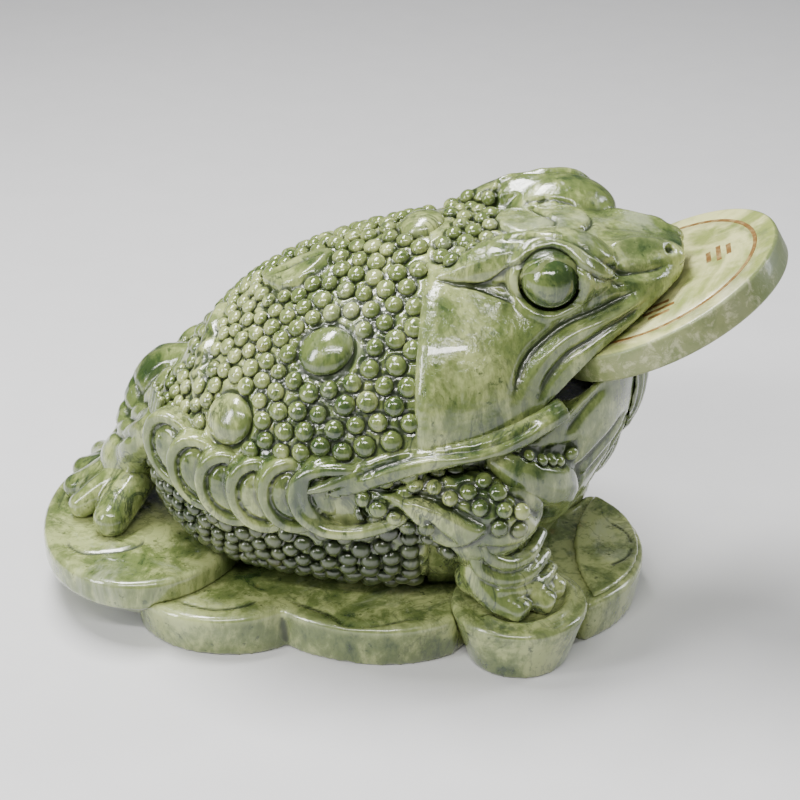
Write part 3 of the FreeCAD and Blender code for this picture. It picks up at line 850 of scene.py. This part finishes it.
# %% Eyes
BALL_R = 0.94 * EYE_R
profile = [(BALL_R * math.sin(t), BALL_R * math.cos(t)) for t in np.linspace(0.05, 3.09, 47)]
profile = [(0.01, BALL_R)] + profile + [(0.01, -BALL_R)]
for side, place in SIDES:
    out = Vector((0.1, -1 if side == "right" else 1, 0.12))
    eye = place(EYE)
    mesh = placed(turned(profile, 72), f"eye_{side}", facing(eye, out))
    pieces[f"eye_{side}"] = shown(f"eye_{side}", mesh, [f"eye_{side}"])


# %% [markdown]
# ## Chest
# Under the chin the throat hangs in upright folds. Grooves that all run the same way, with a soft roll
# between each pair, read as folds. A thick lobe with a row of small beads leads over to each arm. It is a
# stroke of clay that is added before the skin is made, so it melts into the throat. Shade is painted here
# too, darker towards the bottom of the throat.


# %% Chest
CUFF_LOBE = [(43, -58, 93, 6), (51, -56, 87, 9), (58, -49, 80, 10.5), (63, -41, 73, 10.5), (62, -36, 64, 9)]
CHIN_ROW = [(47, -57, 91), (51, -56.5, 90), (55.5, -55, 88.5)]
CHIN_ROW += [(60, -51.5, 88), (65, -48, 87.5), (70, -44, 88)]
CHIN_RADII = [2.1, 2.5, 2.8, 2.9, 2.9, 2.8]
CHEST_CUTS = [
    # line, width, depth, taper
    ([(43, -58, 97), (52, -57, 95), (60, -53, 93), (68, -47, 92), (74, -42, 92)], 4, 2.0, 0.1),
    ([(71, -40, 83), (70, -34, 74), (66, -34, 64), (62, -38, 56)], 4.5, 2.6, 0.2),
    ([(72, -40, 77), (79, -33, 83), (85, -26, 88), (90, -17, 95)], 4.5, 2.2, 0.25),
    ([(76, -36, 68), (84, -28, 74), (90, -20, 80), (93, -12, 88)], 4.5, 2.0, 0.25),
    ([(66, -47, 96), (71, -44, 102), (77, -39, 108), (83, -32, 113)], 4, 1.6, 0.25),
]
lobes = clay(*on_side("right", [CUFF_LOBE]), *on_side("left", [CUFF_LOBE]))
chest = Skin("chest", ["chest"], grid(1.0), added=[lobes])
chest.wobble(0.5, 18, 7)
for side, place in SIDES:
    for line, width, depth, taper in CHEST_CUTS:
        chest.groove(place(line), width, depth, taper)
for y in (-16, -8, 0, 8, 16):
    cut = [(94, y * 0.9, 92), (92, y, 78), (84, y * 1.1, 60), (74, y * 1.15, 44)]
    chest.groove(cut, width=4.5, depth=2.2, taper=0.1)
for y in (-12, -4, 4, 12):
    roll = [(94, y * 0.9, 90), (92, y, 76), (84, y * 1.1, 60), (75, y * 1.15, 46)]
    chest.groove(roll, width=4, depth=-1.0, taper=0.1)
row = np.vstack([np.array(CHIN_ROW, float), mirrored(CHIN_ROW)])
seats, normals, radii = chest.under(row), chest.out_at(row), np.tile(CHIN_RADII, 2)
pieces["beads_on_chin"] = beads("beads_on_chin", chest, seats, normals, radii, 31)
# Painted shade under the chin, darker towards the bottom.
chest.painted_shade = np.maximum(chest.painted_shade, 0.26 * eased((112 - chest.ground[:, 2]) / 30))
pieces["chest"] = chest.finish()


# %% [markdown]
# ## Petals
# Two petals stand in front of the throat, one above the other. Ribs that fan out from the foot make each one
# look thin, though it is as thick as the rest of the block.


# %% Petals
petals = Skin("chest_petals", ["chest_petals"], grid(0.9))
for y in (-12, -6, 0, 6, 12):
    upper = [(96, y * 1.1, 116), (99, y, 104), (98, y, 90), (92, y * 0.8, 80)]
    lower = [(88, y * 1.1, 92), (92, y, 82), (90, y, 70), (84, y * 0.8, 60)]
    petals.groove(upper, width=3.2, depth=1.5, taper=0.1)
    petals.groove(lower, width=3.0, depth=1.3, taper=0.1)
pieces["chest_petals"] = petals.finish()


# %% [markdown]
# ## Ribbon bands
# A ribbon leads from the first coin to the corner of the mouth. It is a flat strap with a channel down its
# middle, which leaves two rounded edges.


# %% Bands
BAND_TOP = [(-25, -70, 87), (-9, -69, 96), (4, -67, 102), (20, -67, 107), (43, -61, 106), (60, -53, 112)]
BAND_MIDDLE = [(-18, -71, 88), (-9, -71, 92), (4, -71, 96), (18, -71, 100)]
BAND_MIDDLE += [(34, -69, 102), (46, -64, 104), (58, -56, 108)]
BAND_LOW = [(-22, -71, 83), (-9, -73, 89), (4, -73, 94), (16, -72, 98)]
BAND_LOW += [(28, -71, 99), (41, -68, 99), (50, -62, 99), (60, -56, 103)]
BAND_TIP = [(-30, -72, 82.5, 1.2), (-24, -73, 85, 2.0), (-17, -72.5, 88, 2.6)]
BAND_TIP += [(-9, -71, 92, 3.0), (2, -69, 96, 2.8), (16, -66, 99, 2.4)]
for side, place in SIDES:
    node = f"string_band_{side}"
    band = Skin(node, [node], grid(0.8), melt=3, added=[clay(*on_side(side, [BAND_TIP]))])
    band.groove(place(BAND_MIDDLE), width=2.6, depth=1.5, taper=0.1)
    band.groove(place(BAND_TOP), width=3.0, depth=-0.8, taper=0.1)
    band.groove(place(BAND_LOW), width=3.0, depth=-0.8, taper=0.1)
    pieces[node] = band.finish()


# %% [markdown]
# ## Forelegs
# The upper arm is covered in warts. A leaf-shaped plate with a sharp upper edge lies along it, and a folded
# cuff wraps the elbow. The warts are set like those of the back, but with a mask of their own, which keeps
# them off the leaf, the ribbon above it and the cuff.


# %% Forelegs
ARM_SPACING = 6.9
ARM_LEAF = [(-9, -74, 87), (-3, -74, 86), (4, -73, 85), (12, -73, 84), (23, -73, 80)]
ARM_LEAF += [(32, -74, 75), (39, -74, 72), (38, -74, 68), (33, -72, 63), (27, -70, 60)]
ARM_LEAF += [(21, -68, 62), (15, -70, 68), (8, -73, 76), (0, -73, 82)]
ARM_LEAF_MIDDLE = [(30, -73, 69), (22, -73, 72), (14, -73, 78), (4, -73, 82), (24, -71, 66)]
ARM_LEAF_EDGE = [(-6, -74, 87), (4, -72, 85.5), (12, -72, 84)]
ARM_LEAF_EDGE += [(23, -73, 80.5), (32, -74, 75.5), (40, -74, 72)]
ARM_LEAF_VEIN = [(8, -73, 80), (16, -73, 75), (23, -72, 69), (29, -71, 63)]
CUFF_CUT = [(36, -70, 98), (40, -64, 92), (44, -63, 88), (48, -67, 84)]
CUFF_CUT += [(53, -66, 79), (57, -63, 73), (60, -56, 66)]
CUFF_FOLDS = [
    [(33, -71, 62), (38, -72, 60), (44, -70, 60), (50, -66, 60), (55, -58, 60)],
    [(36, -68, 55), (42, -66, 52), (48, -62, 51), (53, -55, 51)],
]


def arm_free(points):
    """The outside of the upper arm, but for the leaf, the ribbon over it and the cuff."""
    right = to_right(points)
    ok = (right[:, 1] < -52) & (points[:, 0] > -20) & (right[:, 2] > 52)
    ok &= clear_of(right, band_line[::4], 9.0) & clear_of(right, through(ARM_LEAF, 3, True), 3.4)
    ok &= clear_of(right, ARM_LEAF_MIDDLE, 6) & clear_of(right, through(CUFF_CUT, 3), 3.8)
    under_leaf = (points[:, 0] > 24) & (right[:, 2] < 68)
    beyond_cut = points[:, 0] - 42 > 0.9 * (88 - right[:, 2])
    return ok & ~under_leaf & ~beyond_cut & (points[:, 0] < 52)


for side, place in SIDES:
    leg = Skin(f"foreleg_{side}", [f"foreleg_{side}"], grid(0.95))
    leg.wobble(0.3, 20, 5)
    leg.plate(place(ARM_LEAF), height=2.6, edge=3.2, moat=1.0)
    leg.groove(place(ARM_LEAF_EDGE), width=2.8, depth=2.2)
    leg.groove(place(ARM_LEAF_VEIN), width=2.6, depth=1.6)
    leg.groove(place(CUFF_CUT), width=5.0, depth=3.4, taper=0.15)
    for line in CUFF_FOLDS:
        leg.groove(place(line), width=3.4, depth=1.8)
    seats, normals, radii = scatter(leg, lambda p: np.full(len(p), ARM_SPACING), arm_free, seed=21)
    warts = f"warts_on_foreleg_{side}"
    pieces[warts] = beads(warts, leg, seats, normals, radii, 22)
    pieces[f"foreleg_{side}"] = leg.finish()


# %% [markdown]
# ## Forepaws
# Each paw has four thick toes, and three rolled folds wrap the wrist above them. All are strokes of clay on
# the paw's mass, so they flow into each other where they meet. The toe ends are then ground a little flat.


# %% Forepaws
TOES = [
    [(36, -57, 50, 7.5), (36, -57, 41, 7.8), (43, -61, 33.5, 7.0), (52, -64, 29.5, 5.6)],
    [(40, -51, 50, 7.5), (43, -51, 40, 7.6), (53, -55, 33, 6.8), (62, -57, 29, 5.6)],
    [(43, -43, 48, 7.0), (48, -42, 39, 7.0), (58, -44, 32, 6.4), (66, -46, 28.5, 5.2)],
    [(40, -38, 44, 6.2), (47, -34, 37, 6.2), (55, -33, 31, 5.6), (62, -33, 28, 4.6)],
]
CUFF_ROLLS = [
    [(37, -68, 62, 2.2), (41, -67, 54, 3.0), (48, -62, 49, 3.2), (55, -54, 49, 3.2), (59, -44, 52, 2.8)],
    [(33, -67, 57, 2.2), (37, -66, 48, 3.0), (46, -64, 43, 3.2), (55, -57, 42, 3.2), (61, -46, 44, 2.8)],
    [(45, -65, 38, 2.2), (53, -60, 36.5, 2.8), (60, -53, 36, 2.8), (64, -45, 37, 2.4)],
]
TOE_ENDS = [(56, -66, 27.5), (66, -58, 27.5), (70, -46, 27)]
for side, place in SIDES:
    toes = clay(*on_side(side, TOES + CUFF_ROLLS))
    paw = Skin(f"forepaw_{side}", [f"forepaw_{side}"], grid(0.75), melt=2, added=[toes])
    for end in TOE_ENDS:
        paw.swell(place([end])[0], 5.5, -1.8)
    pieces[f"forepaw_{side}"] = paw.finish()


# %% [markdown]
# ## Hind leg
# This kind of toad has a single hind leg, folded up behind the rump. It is all soft rolls, so it is made of
# clay strokes that melt into the roughed-out mass, with three creases where it bends.


# %% Hind leg
leg_rolls = clay(
    [(-88, 14, 92, 8), (-98, 18, 86, 10.5), (-106, 16, 74, 10.5), (-112, 10, 60, 9.5), (-113, 6, 48, 9)],
    [(-86, -10, 86, 7), (-96, -12, 78, 8.5), (-105, -9, 66, 8.5), (-110, -3, 54, 8.5)],
    [(-90, 24, 80, 7), (-100, 26, 70, 8), (-108, 22, 56, 8)],
)
hind_leg = Skin("hind_leg", ["hind_leg"], grid(0.95), melt=3, added=[leg_rolls])
hind_leg.wobble(0.5, 14, 9)
for shift in (0, 9, 18):
    fold = [(-92 - shift * 0.5, -16, 92 - shift), (-104 - shift * 0.5, -8, 84 - shift)]
    fold += [(-110 - shift * 0.4, 6, 80 - shift), (-108 - shift * 0.3, 20, 80 - shift)]
    hind_leg.groove(fold, width=3.2, depth=1.8)
pieces["hind_leg"] = hind_leg.finish()


# %% [markdown]
# ## Hind foot
# Five toes spread out over the lobe from one heel, with a web between them. The web needs no drawing: it is
# the mass of the frame, which shows between the strokes.


# %% Hind foot
foot_toes = clay(
    [(-112, 2, 48, 9.5), (-121, 2, 44, 8.6), (-130, 3, 39.5, 6.6), (-137.5, 3, 36, 5.0)],
    [(-111, 8, 47, 8.5), (-121, 13, 43, 7.6), (-130, 16, 39, 6.2), (-136, 17, 36, 5.0)],
    [(-110, 12, 45, 8), (-120, 22, 42, 7), (-127, 27, 39, 6), (-131, 30, 36.5, 4.8)],
    [(-112, -4, 47, 8.5), (-120, -6, 43, 7.6), (-127, -9, 39, 6.2), (-132, -11, 36, 5.0)],
    [(-110, -9, 45, 8), (-114, -16, 41, 7.4), (-117, -22, 37.5, 6.4)],
)
hind_foot = Skin("hind_foot", ["hind_foot"], grid(0.85), melt=2, added=[foot_toes])
pieces["hind_foot"] = hind_foot.finish()


# %% [markdown]
# ## Cloud plinth
# The plinth is one slab cut to a cloud outline, with a raised lobe at the rear and in front, and a small
# raised scroll under each forepaw. The skin's remesh rounds its rims a little, as grinding does, and shallow
# lines are engraved along them as the curls of the cloud.


# %% Plinth
def cloud_part(name, fine, bump, seed, lines, depth=1.3):
    """One part of the cloud: its skin, made a little uneven, with curls engraved in its top."""
    part = Skin(name, [name], grid(fine), melt=3)
    part.wobble(bump, 30, seed)
    top = node_box(name)[1][2]
    for line in lines:
        part.groove([(x, y, top) for x, y in line], width=1.9, depth=depth)
    return part.finish()


SLAB_LINES = [
    [(-88, -54), (-75, -59), (-67, -60), (-58, -57), (-50, -51)],
    [(-88, 54), (-75, 59), (-67, 60), (-58, 57), (-50, 51)],
    [(-43, -50), (-33, -54), (-22, -60), (-15, -66), (-2, -65), (14, -58)],
    [(-43, 50), (-33, 54), (-22, 60), (-15, 66), (-2, 65), (14, 58)],
]
REAR_LINES = [
    [(-134, -26), (-132, -34), (-125, -39), (-116, -38), (-108, -35), (-103, -29), (-107, -23)],
    [(-142, -12), (-144, 2), (-142, 18), (-134, 30), (-122, 38), (-108, 38)],
]
FRONT_LINES = [[(86, -18), (94, -10), (97, 0)], [(86, 18), (94, 10), (97, 0)]]
pieces["plinth_slab"] = cloud_part("plinth_slab", 1.2, 0.55, 1, SLAB_LINES)
pieces["plinth_rear_scroll"] = cloud_part("plinth_rear_scroll", 1.1, 0.5, 2, REAR_LINES)
pieces["plinth_front_scroll"] = cloud_part("plinth_front_scroll", 1.1, 0.5, 3, FRONT_LINES, depth=1.2)


# %% [markdown]
# ## Scrolls under the paws
# A small round scroll carries each forepaw. Its raised lip follows three quarters of the rim, so it is one
# stroke of clay laid on the top.


# %% Scrolls under the paws
PAW_CURL = [(40, -65), (48, -69.5), (58, -68), (67, -61), (72, -50), (70, -39), (62, -32), (53, -32)]
for side, place in SIDES:
    lip = clay(*on_side(side, [[(x, y, PAW_TOP - 0.6, 2.4) for x, y in PAW_CURL]]))
    node = f"plinth_paw_scroll_{side}"
    pieces[node] = Skin(node, [node], grid(0.9), melt=3, added=[lip]).finish()


# %% [markdown]
# ## Coin
# The coin is a turned disc with rounded rims. It is built flat and then laid along the joint's own axis, so
# that it can only slide the way the slot lets it. Its thickness follows from the height of its box, since
# the box holds a tilted disc with round rims. A second attribute marks the rim, which has its own finish.


# %% Coin
slide = Vector(frame["joints"][0]["axis"])
COIN_TILT = math.atan2(slide.z, slide.x)
RIM = 1.6


def coin_place():
    """The coin's middle, with X along the slide and Z out of its upper face."""
    across = Vector((0, 1, 0))
    up = slide.cross(across).normalized()
    up = -up if up.z < 0 else up
    turn = Matrix((slide, across, up)).transposed().to_4x4()
    return Matrix.Translation(Vector(middle_of("coin")) * MM) @ turn


wide, tall = (node_box("coin")[1] - node_box("coin")[0])[1:]
COIN_R = wide / 2
COIN_T = (tall - 2 * ((COIN_R - RIM) * math.sin(COIN_TILT) + RIM)) / math.cos(COIN_TILT) + 2 * RIM
print("coin radius", round(float(COIN_R), 1), "thickness", round(float(COIN_T), 2))
half = COIN_T / 2
quarter_turn = np.linspace(0, math.pi / 2, 6)
edge = [(COIN_R - RIM + RIM * math.sin(t), half - RIM + RIM * math.cos(t)) for t in quarter_turn]
flat = [(r, half) for r in (0.01, 12, 24, 36, 39.9, 40.2, 41.8, 42.1, 45, 47)]
flat = [(r, h - 0.3) if 40.1 < r < 41.9 else (r, h) for r, h in flat]
lower = [(r, -h) for r, h in reversed(edge)] + [(r, -half) for r in (46, 36, 24, 12, 0.01)]
COIN_PLACE = coin_place()
coin_mesh = placed(turned(flat + edge + lower, 160), "coin", COIN_PLACE)
inward = COIN_PLACE.inverted()
on_rim = [1.0 if (inward @ v.co).xy.length > (COIN_R - 0.7) * MM else 0.0 for v in coin_mesh.vertices]
coin_mesh.attributes.new("ground", "FLOAT", "POINT").data.foreach_set("value", on_rim)
pieces["coin"] = shown("coin", coin_mesh, ["coin"], body="loose_coin", slot="coin_jade")


# %% [markdown]
# ## Gilding
# A ring is cut near the rim and filled with gold paint. Four groups of plain bars stand inside it, in place
# of any writing. The paint stands a hair above the stone, since two faces in one plane would flicker.


# %% Gilding
CUT_IN, CUT_OUT = 40.1, 41.9
ring = [(CUT_IN, half - 0.32), (CUT_IN + 0.2, half + 0.04), (CUT_OUT - 0.2, half + 0.04)]
ring += [(CUT_OUT, half - 0.32), (CUT_IN, half - 0.32)]
gilding = turned(ring, 160)
for quarter in range(4):
    for step in (-4.2, 0.0, 4.2):
        bar(gilding, quarter * math.pi / 2, (26 + step, 0, half + 0.02), (2.0, 13 - abs(step), 0.12))
gilding_mesh = placed(gilding, "coin_gilding", COIN_PLACE)
gilt_place = {"body": "loose_coin", "slot": "gilt", "smooth": False}
pieces["coin_gilding"] = shown("coin_gilding", gilding_mesh, ["coin_gilding"], **gilt_place)


# %% [markdown]
# ## Material maths as Python
# A shader is a graph of nodes. Wrapping a socket in a small class lets a mask be written as an ordinary
# expression, and each operator adds its Math node. The reflected forms let a plain number stand first, as in
# 1 - mask.


# %% Shader wires
class Wire:
    """A socket that does arithmetic: each operator adds a Math node and gives its result."""

    def __init__(self, sheet, socket):
        self.sheet, self.socket = sheet, socket

    def math(self, operation, *values):
        return self.sheet.node("ShaderNodeMath", {"operation": operation}, dict(enumerate(values)))

    def __add__(self, other):
        return self.math("ADD", self, other)

    def __sub__(self, other):
        return self.math("SUBTRACT", self, other)

    def __rsub__(self, other):
        return self.math("SUBTRACT", other, self)

    def __mul__(self, other):
        return self.math("MULTIPLY", self, other)

    def __abs__(self):
        return self.math("ABSOLUTE", self)

    __radd__, __rmul__ = __add__, __mul__

    def between(self, low, high):
        """Rises smoothly from 0 to 1 as this goes from low to high."""
        settings = {"interpolation_type": "SMOOTHSTEP"}
        values = {"Value": self, "From Min": low, "From Max": high}
        return self.sheet.node("ShaderNodeMapRange", settings, values)


# %% [markdown]
# ## One maker for every node
# A node needs the same few steps each time: add it, set its options, then fill or link its sockets. One
# method does that for every type. The steps that come back most, which are noise, a mix of two colours and
# a bump, get a short name on top of it.


# %% Finishes
class Finish:
    """One material, with a maker for its nodes."""

    def __init__(self, name):
        self.material = bpy.data.materials.new(name)
        self.material.use_nodes = True
        self.tree = self.material.node_tree
        self.shader = self.tree.nodes["Principled BSDF"]
        self.position = self.node("ShaderNodeTexCoord", output="Object")

    def node(self, kind, settings=None, values=None, output=0):
        """Adds a node: its settings are set first, and then the values or links of its sockets."""
        made = self.tree.nodes.new(kind)
        for name, value in (settings or {}).items():
            setattr(made, name, value)
        for socket, value in (values or {}).items():
            if isinstance(value, Wire):
                self.tree.links.new(value.socket, made.inputs[socket])
            else:
                made.inputs[socket].default_value = value
        return Wire(self, made.outputs[output])

    def noise(self, scale, detail=4.0, roughness=0.55, twist=0.0, at=None):
        """Noise whose lumps are about 1000 / scale millimetres across."""
        values = {"Vector": at or self.position, "Scale": scale, "Detail": detail, "Roughness": roughness}
        values["Distortion"] = twist
        return self.node("ShaderNodeTexNoise", None, values, output="Fac")

    def mix(self, factor, a, b):
        """A colour between a and b."""
        values = {"Factor": factor, 6: a, 7: b}
        return self.node("ShaderNodeMix", {"data_type": "RGBA"}, values, output=2)

    def bump(self, height, strength, distance):
        values = {"Height": height, "Strength": strength, "Distance": distance}
        return self.node("ShaderNodeBump", None, values, output="Normal")

    def surface(self, **sockets):
        """Sets the shader's own sockets. An underscore in a name stands for a space."""
        for name, value in sockets.items():
            socket = self.shader.inputs[name.replace("_", " ")]
            if isinstance(value, Wire):
                self.tree.links.new(value.socket, socket)
            else:
                socket.default_value = value
        return self.material


# %% [markdown]
# ## Jade
# Serpentine is mottled rather than speckled: yellow-green clouds drift through a deeper green, with smoky and
# milky patches, thin dark veins, fine flecks and a little rust. All of it runs through the solid, so the
# pattern is in Object coordinates and passes from one piece to the next without a break. A Mapping node
# turns and stretches it, as the stone has a grain. Shade is painted into the cuts, which the recess attribute
# marks, and a highlight is painted onto the crests. A clear coat stands for the wax polish.


# %% Jade
def jade(name, pale=0.0, gloss=0.17, waves=0.0009):
    """Green stone. pale lightens it, gloss is its roughness, waves the height of its unevenness in metres."""
    stone = Finish(name)
    turn = {"Vector": stone.position, "Rotation": (0.35, 0.5, 0.2), "Scale": (1.0, 1.0, 0.38)}
    grained = stone.node("ShaderNodeMapping", None, turn)
    cloud = stone.noise(22, 6, 0.6, 0.9)
    mottle = stone.noise(85, 6, 0.68, 0.6, grained)
    fine = stone.noise(330, 4, 0.7, 0.3, grained)
    tone = cloud * 0.46 + mottle * 0.4 + fine * 0.14 + pale * 0.04
    green = stone.mix(tone.between(0.4, 0.5), (0.03, 0.056, 0.015, 1), (0.122, 0.162, 0.046, 1))
    green = stone.mix(tone.between(0.49, 0.6), green, (0.345, 0.39, 0.15, 1))
    smoke = stone.noise(13, 5, 0.6, 1.2, grained)
    green = stone.mix(smoke.between(0.57, 0.7) * (0.75 - pale), green, (0.022, 0.042, 0.018, 1))
    white = stone.noise(17, 6, 0.7, 0.8, grained)
    green = stone.mix(white.between(0.57, 0.7) * (0.34 + 0.2 * pale), green, (0.44, 0.47, 0.33, 1))
    vein = abs(stone.noise(46, 6, 0.65, 1.0, grained) - 0.5)
    patchy = stone.noise(20, 3, 0.5, 0.4).between(0.44, 0.6)
    veined = (1 - vein.between(0.0, 0.035)) * patchy * (0.85 - 0.7 * pale)
    green = stone.mix(veined, green, (0.02, 0.036, 0.02, 1))
    flecks = stone.noise(260, 3, 0.7).between(0.6, 0.7) * 0.7
    green = stone.mix(flecks, green, (0.022, 0.042, 0.015, 1))
    rust = stone.noise(31, 4, 0.6, 0.5).between(0.66, 0.76) * 0.5
    green = stone.mix(rust, green, (0.26, 0.15, 0.035, 1))
    depth = stone.node("ShaderNodeAttribute", {"attribute_name": "recess"}, output="Fac")
    hollow = depth.between(0.02, 0.7)
    # Painted shade: the recesses are darkened almost to black.
    green = stone.mix(hollow * 0.9, green, (0.013, 0.024, 0.005, 1))
    # Painted highlight: crests, which stand above their surroundings, are lightened.
    painted_crest_highlight = (depth * -1.0).between(0.2, 1.0) * 0.2
    green = stone.mix(painted_crest_highlight, green, (0.4, 0.44, 0.2, 1))
    rough = mottle * 0.12 + hollow * 0.2 + (gloss - 0.06)
    facets = stone.noise(95, 3, 0.5)
    return stone.surface(
        Base_Color=green,
        Roughness=rough,
        Normal=stone.bump(facets * 0.8 + fine * 0.2, 1.0, waves),
        IOR=1.56,
        Subsurface_Weight=0.05,
        Subsurface_Radius=(0.004, 0.005, 0.0025),
        Subsurface_Scale=1.0,
        Coat_Weight=0.8,
        Coat_Roughness=0.05,
    )


finishes = {
    "jade": jade("polished jade"),
    "head": jade("polished jade of the head", pale=0.3, waves=0.0017),
    "base": jade("ground jade of the plinth", pale=0.62, gloss=0.25),
    "beads": jade("jade of the warts", pale=0.2, gloss=0.13),
    "eye": jade("jade of the eyes", pale=-0.6, gloss=0.09),
}
print("jade finishes", sorted(finishes))


# %% [markdown]
# ## Coin stone and gold paint
# The coin is a paler slice of the same stone, ground flat. Its rim was left as the wheel left it, so it is
# duller. The paint is old bronze gold, worn through in places.


# %% Coin stone and gold paint
def coin_stone():
    """The coin's pale slice, with a dull rim."""
    stone = Finish("pale coin jade")
    cloud = stone.noise(26, 6, 0.6, 1.3)
    mottle = stone.noise(90, 5, 0.6, 0.5)
    tone = cloud * 0.65 + mottle * 0.35
    colour = stone.mix(tone.between(0.4, 0.58), (0.24, 0.285, 0.075, 1), (0.60, 0.60, 0.27, 1))
    pale = stone.noise(14, 5, 0.6, 1.5).between(0.52, 0.68) * 0.6
    colour = stone.mix(pale, colour, (0.62, 0.60, 0.40, 1))
    smoke = stone.noise(33, 5, 0.65, 1.0).between(0.57, 0.7) * 0.6
    colour = stone.mix(smoke, colour, (0.12, 0.16, 0.06, 1))
    rim = stone.node("ShaderNodeAttribute", {"attribute_name": "ground"}, output="Fac")
    dusty = stone.noise(150, 5, 0.75, 0.4).between(0.5, 0.66)
    side = stone.mix(dusty, (0.10, 0.135, 0.045, 1), (0.34, 0.35, 0.22, 1))
    colour = stone.mix(rim * 0.75, colour, side)
    return stone.surface(
        Base_Color=colour,
        Roughness=mottle * 0.12 + rim * 0.2 + 0.24,
        Normal=stone.bump(stone.noise(700, 2, 0.5), 0.25, 0.0006),
        IOR=1.56,
        Subsurface_Weight=0.06,
        Subsurface_Radius=(0.005, 0.005, 0.003),
        Subsurface_Scale=1.0,
        Coat_Weight=0.2,
        Coat_Roughness=0.12,
    )


def gold_paint():
    """Old gold paint, worn in places."""
    paint = Finish("old gold paint")
    worn = paint.noise(260, 4, 0.6)
    colour = paint.mix(worn.between(0.42, 0.7), (0.22, 0.115, 0.03, 1), (0.38, 0.28, 0.11, 1))
    return paint.surface(Base_Color=colour, Roughness=worn * 0.3 + 0.3, Metallic=0.35)


finishes["coin"] = coin_stone()
finishes["gilt"] = gold_paint()


# %% [markdown]
# ## Which finish goes where
# A piece's name says what it is, so a short table of name beginnings is enough, and the more exact beginnings
# come first. What it doesn't list is plain polished jade.


# %% Finishes on the pieces
FINISH_OF = {
    "warts": "beads",
    "beads": "beads",
    "plinth": "base",
    "eye": "eye",
    "head": "head",
    "coin_string": "jade",
    "coin_gilding": "gilt",
    "coin": "coin",
}


def finish_for(name):
    """The finish of a piece, from the beginning of its name."""
    return next((finish for start, finish in FINISH_OF.items() if name.startswith(start)), "jade")


for name, piece in pieces.items():
    piece.data.materials.clear()
    piece.data.materials.append(finishes[finish_for(name)])
print({finish: sum(finish_for(name) == finish for name in pieces) for finish in finishes})


# %% [markdown]
# ## Floor
# The object stands on a plain pale floor. A flat plane would show its far edge, so the floor is turned like a
# very wide bowl, which curves up all round the object.


# %% Floor
def sweep(reach=3.2, bend=1.2, rise=3.5):
    """A round floor that curves up into a wall on every side, so that no view shows an edge."""
    curve = [(reach + bend * math.sin(t), bend - bend * math.cos(t)) for t in np.linspace(0, math.pi / 2, 14)]
    profile = [(0.001, 0.0), (1.0, 0.0), (2.0, 0.0)] + curve + [(reach + bend, rise)]
    mesh = placed(turned([(r / MM, z / MM) for r, z in profile], 96), "floor", Matrix.Identity(4))
    mesh.flip_normals()
    for polygon in mesh.polygons:
        polygon.use_smooth = True
    floor = bpy.data.objects.new("floor", mesh)
    bpy.context.scene.collection.objects.link(floor)
    return floor


floor = sweep()
paper = Finish("pale paper")
shade = paper.mix(paper.noise(40, 3, 0.5), (0.60, 0.60, 0.61, 1), (0.64, 0.64, 0.65, 1))
floor.data.materials.append(paper.surface(Base_Color=shade, Roughness=0.75))
print("floor", [round(side, 1) for side in floor.dimensions], "m")


# %% [markdown]
# ## Lights
# Polished stone mirrors its lamps, so their shapes matter as much as their strength. Narrow soft boxes give
# long, crisp highlights: one overhead, one on the left, and a strip in front that draws a bright line along
# the cheek and puts a point of light on each wart. A dim one on the right picks out the rims, and the world
# adds a little cool light from everywhere.


# %% Lights
def soft_box(name, place, aim, size, power, tint):
    """A rectangular lamp that is turned towards a point."""
    lamp = bpy.data.lights.new(name, "AREA")
    lamp.shape, lamp.size, lamp.size_y = "RECTANGLE", size[0], size[1]
    lamp.energy, lamp.color = power, tint
    box = bpy.data.objects.new(name, lamp)
    bpy.context.scene.collection.objects.link(box)
    box.location = place
    box.rotation_euler = (Vector(aim) - Vector(place)).to_track_quat("-Z", "Y").to_euler()
    print(f"{name}: {power} W")


middle = (0.0, 0.0, 0.08)
soft_box("overhead box", (-0.25, 0.12, 0.95), middle, (0.6, 0.16), 19, (1.0, 0.99, 0.97))
soft_box("left box", (-0.9, -0.6, 0.55), middle, (0.18, 0.6), 9.5, (1.0, 1.0, 1.0))
soft_box("front strip", (-0.05, -0.75, 0.9), middle, (0.8, 0.07), 9.5, (1.0, 0.98, 0.95))
soft_box("right edge", (0.95, 0.3, 0.5), middle, (0.14, 0.6), 5, (0.95, 0.98, 1.0))

world = bpy.data.worlds.new("studio")
bpy.context.scene.world = world
world.use_nodes = True
sky = world.node_tree.nodes["Background"]
sky.inputs["Color"].default_value = (0.86, 0.9, 1.0, 1)
sky.inputs["Strength"].default_value = 0.13


# %% [markdown]
# ## Camera
# The camera looks down on the toad's right side from a little in front. It stands well back with a long lens,
# which keeps the near paw from looking too large.


# %% Camera
AZIMUTH, ELEVATION, DISTANCE = math.radians(5), math.radians(28), 0.85
level = math.cos(ELEVATION)
back = Vector((math.sin(AZIMUTH) * level, -math.cos(AZIMUTH) * level, math.sin(ELEVATION)))
lens = bpy.data.cameras.new("camera")
lens.sensor_width, lens.lens = 36, 94.7
lens.clip_start, lens.clip_end = 0.02, 20
camera = bpy.data.objects.new("camera", lens)
bpy.context.scene.collection.objects.link(camera)
look_at = Vector((0, 0, 0.085))
camera.location = look_at + back * DISTANCE
camera.rotation_euler = (-back).to_track_quat("-Z", "Y").to_euler()
bpy.context.scene.camera = camera
print("camera", [round(place, 3) for place in camera.location])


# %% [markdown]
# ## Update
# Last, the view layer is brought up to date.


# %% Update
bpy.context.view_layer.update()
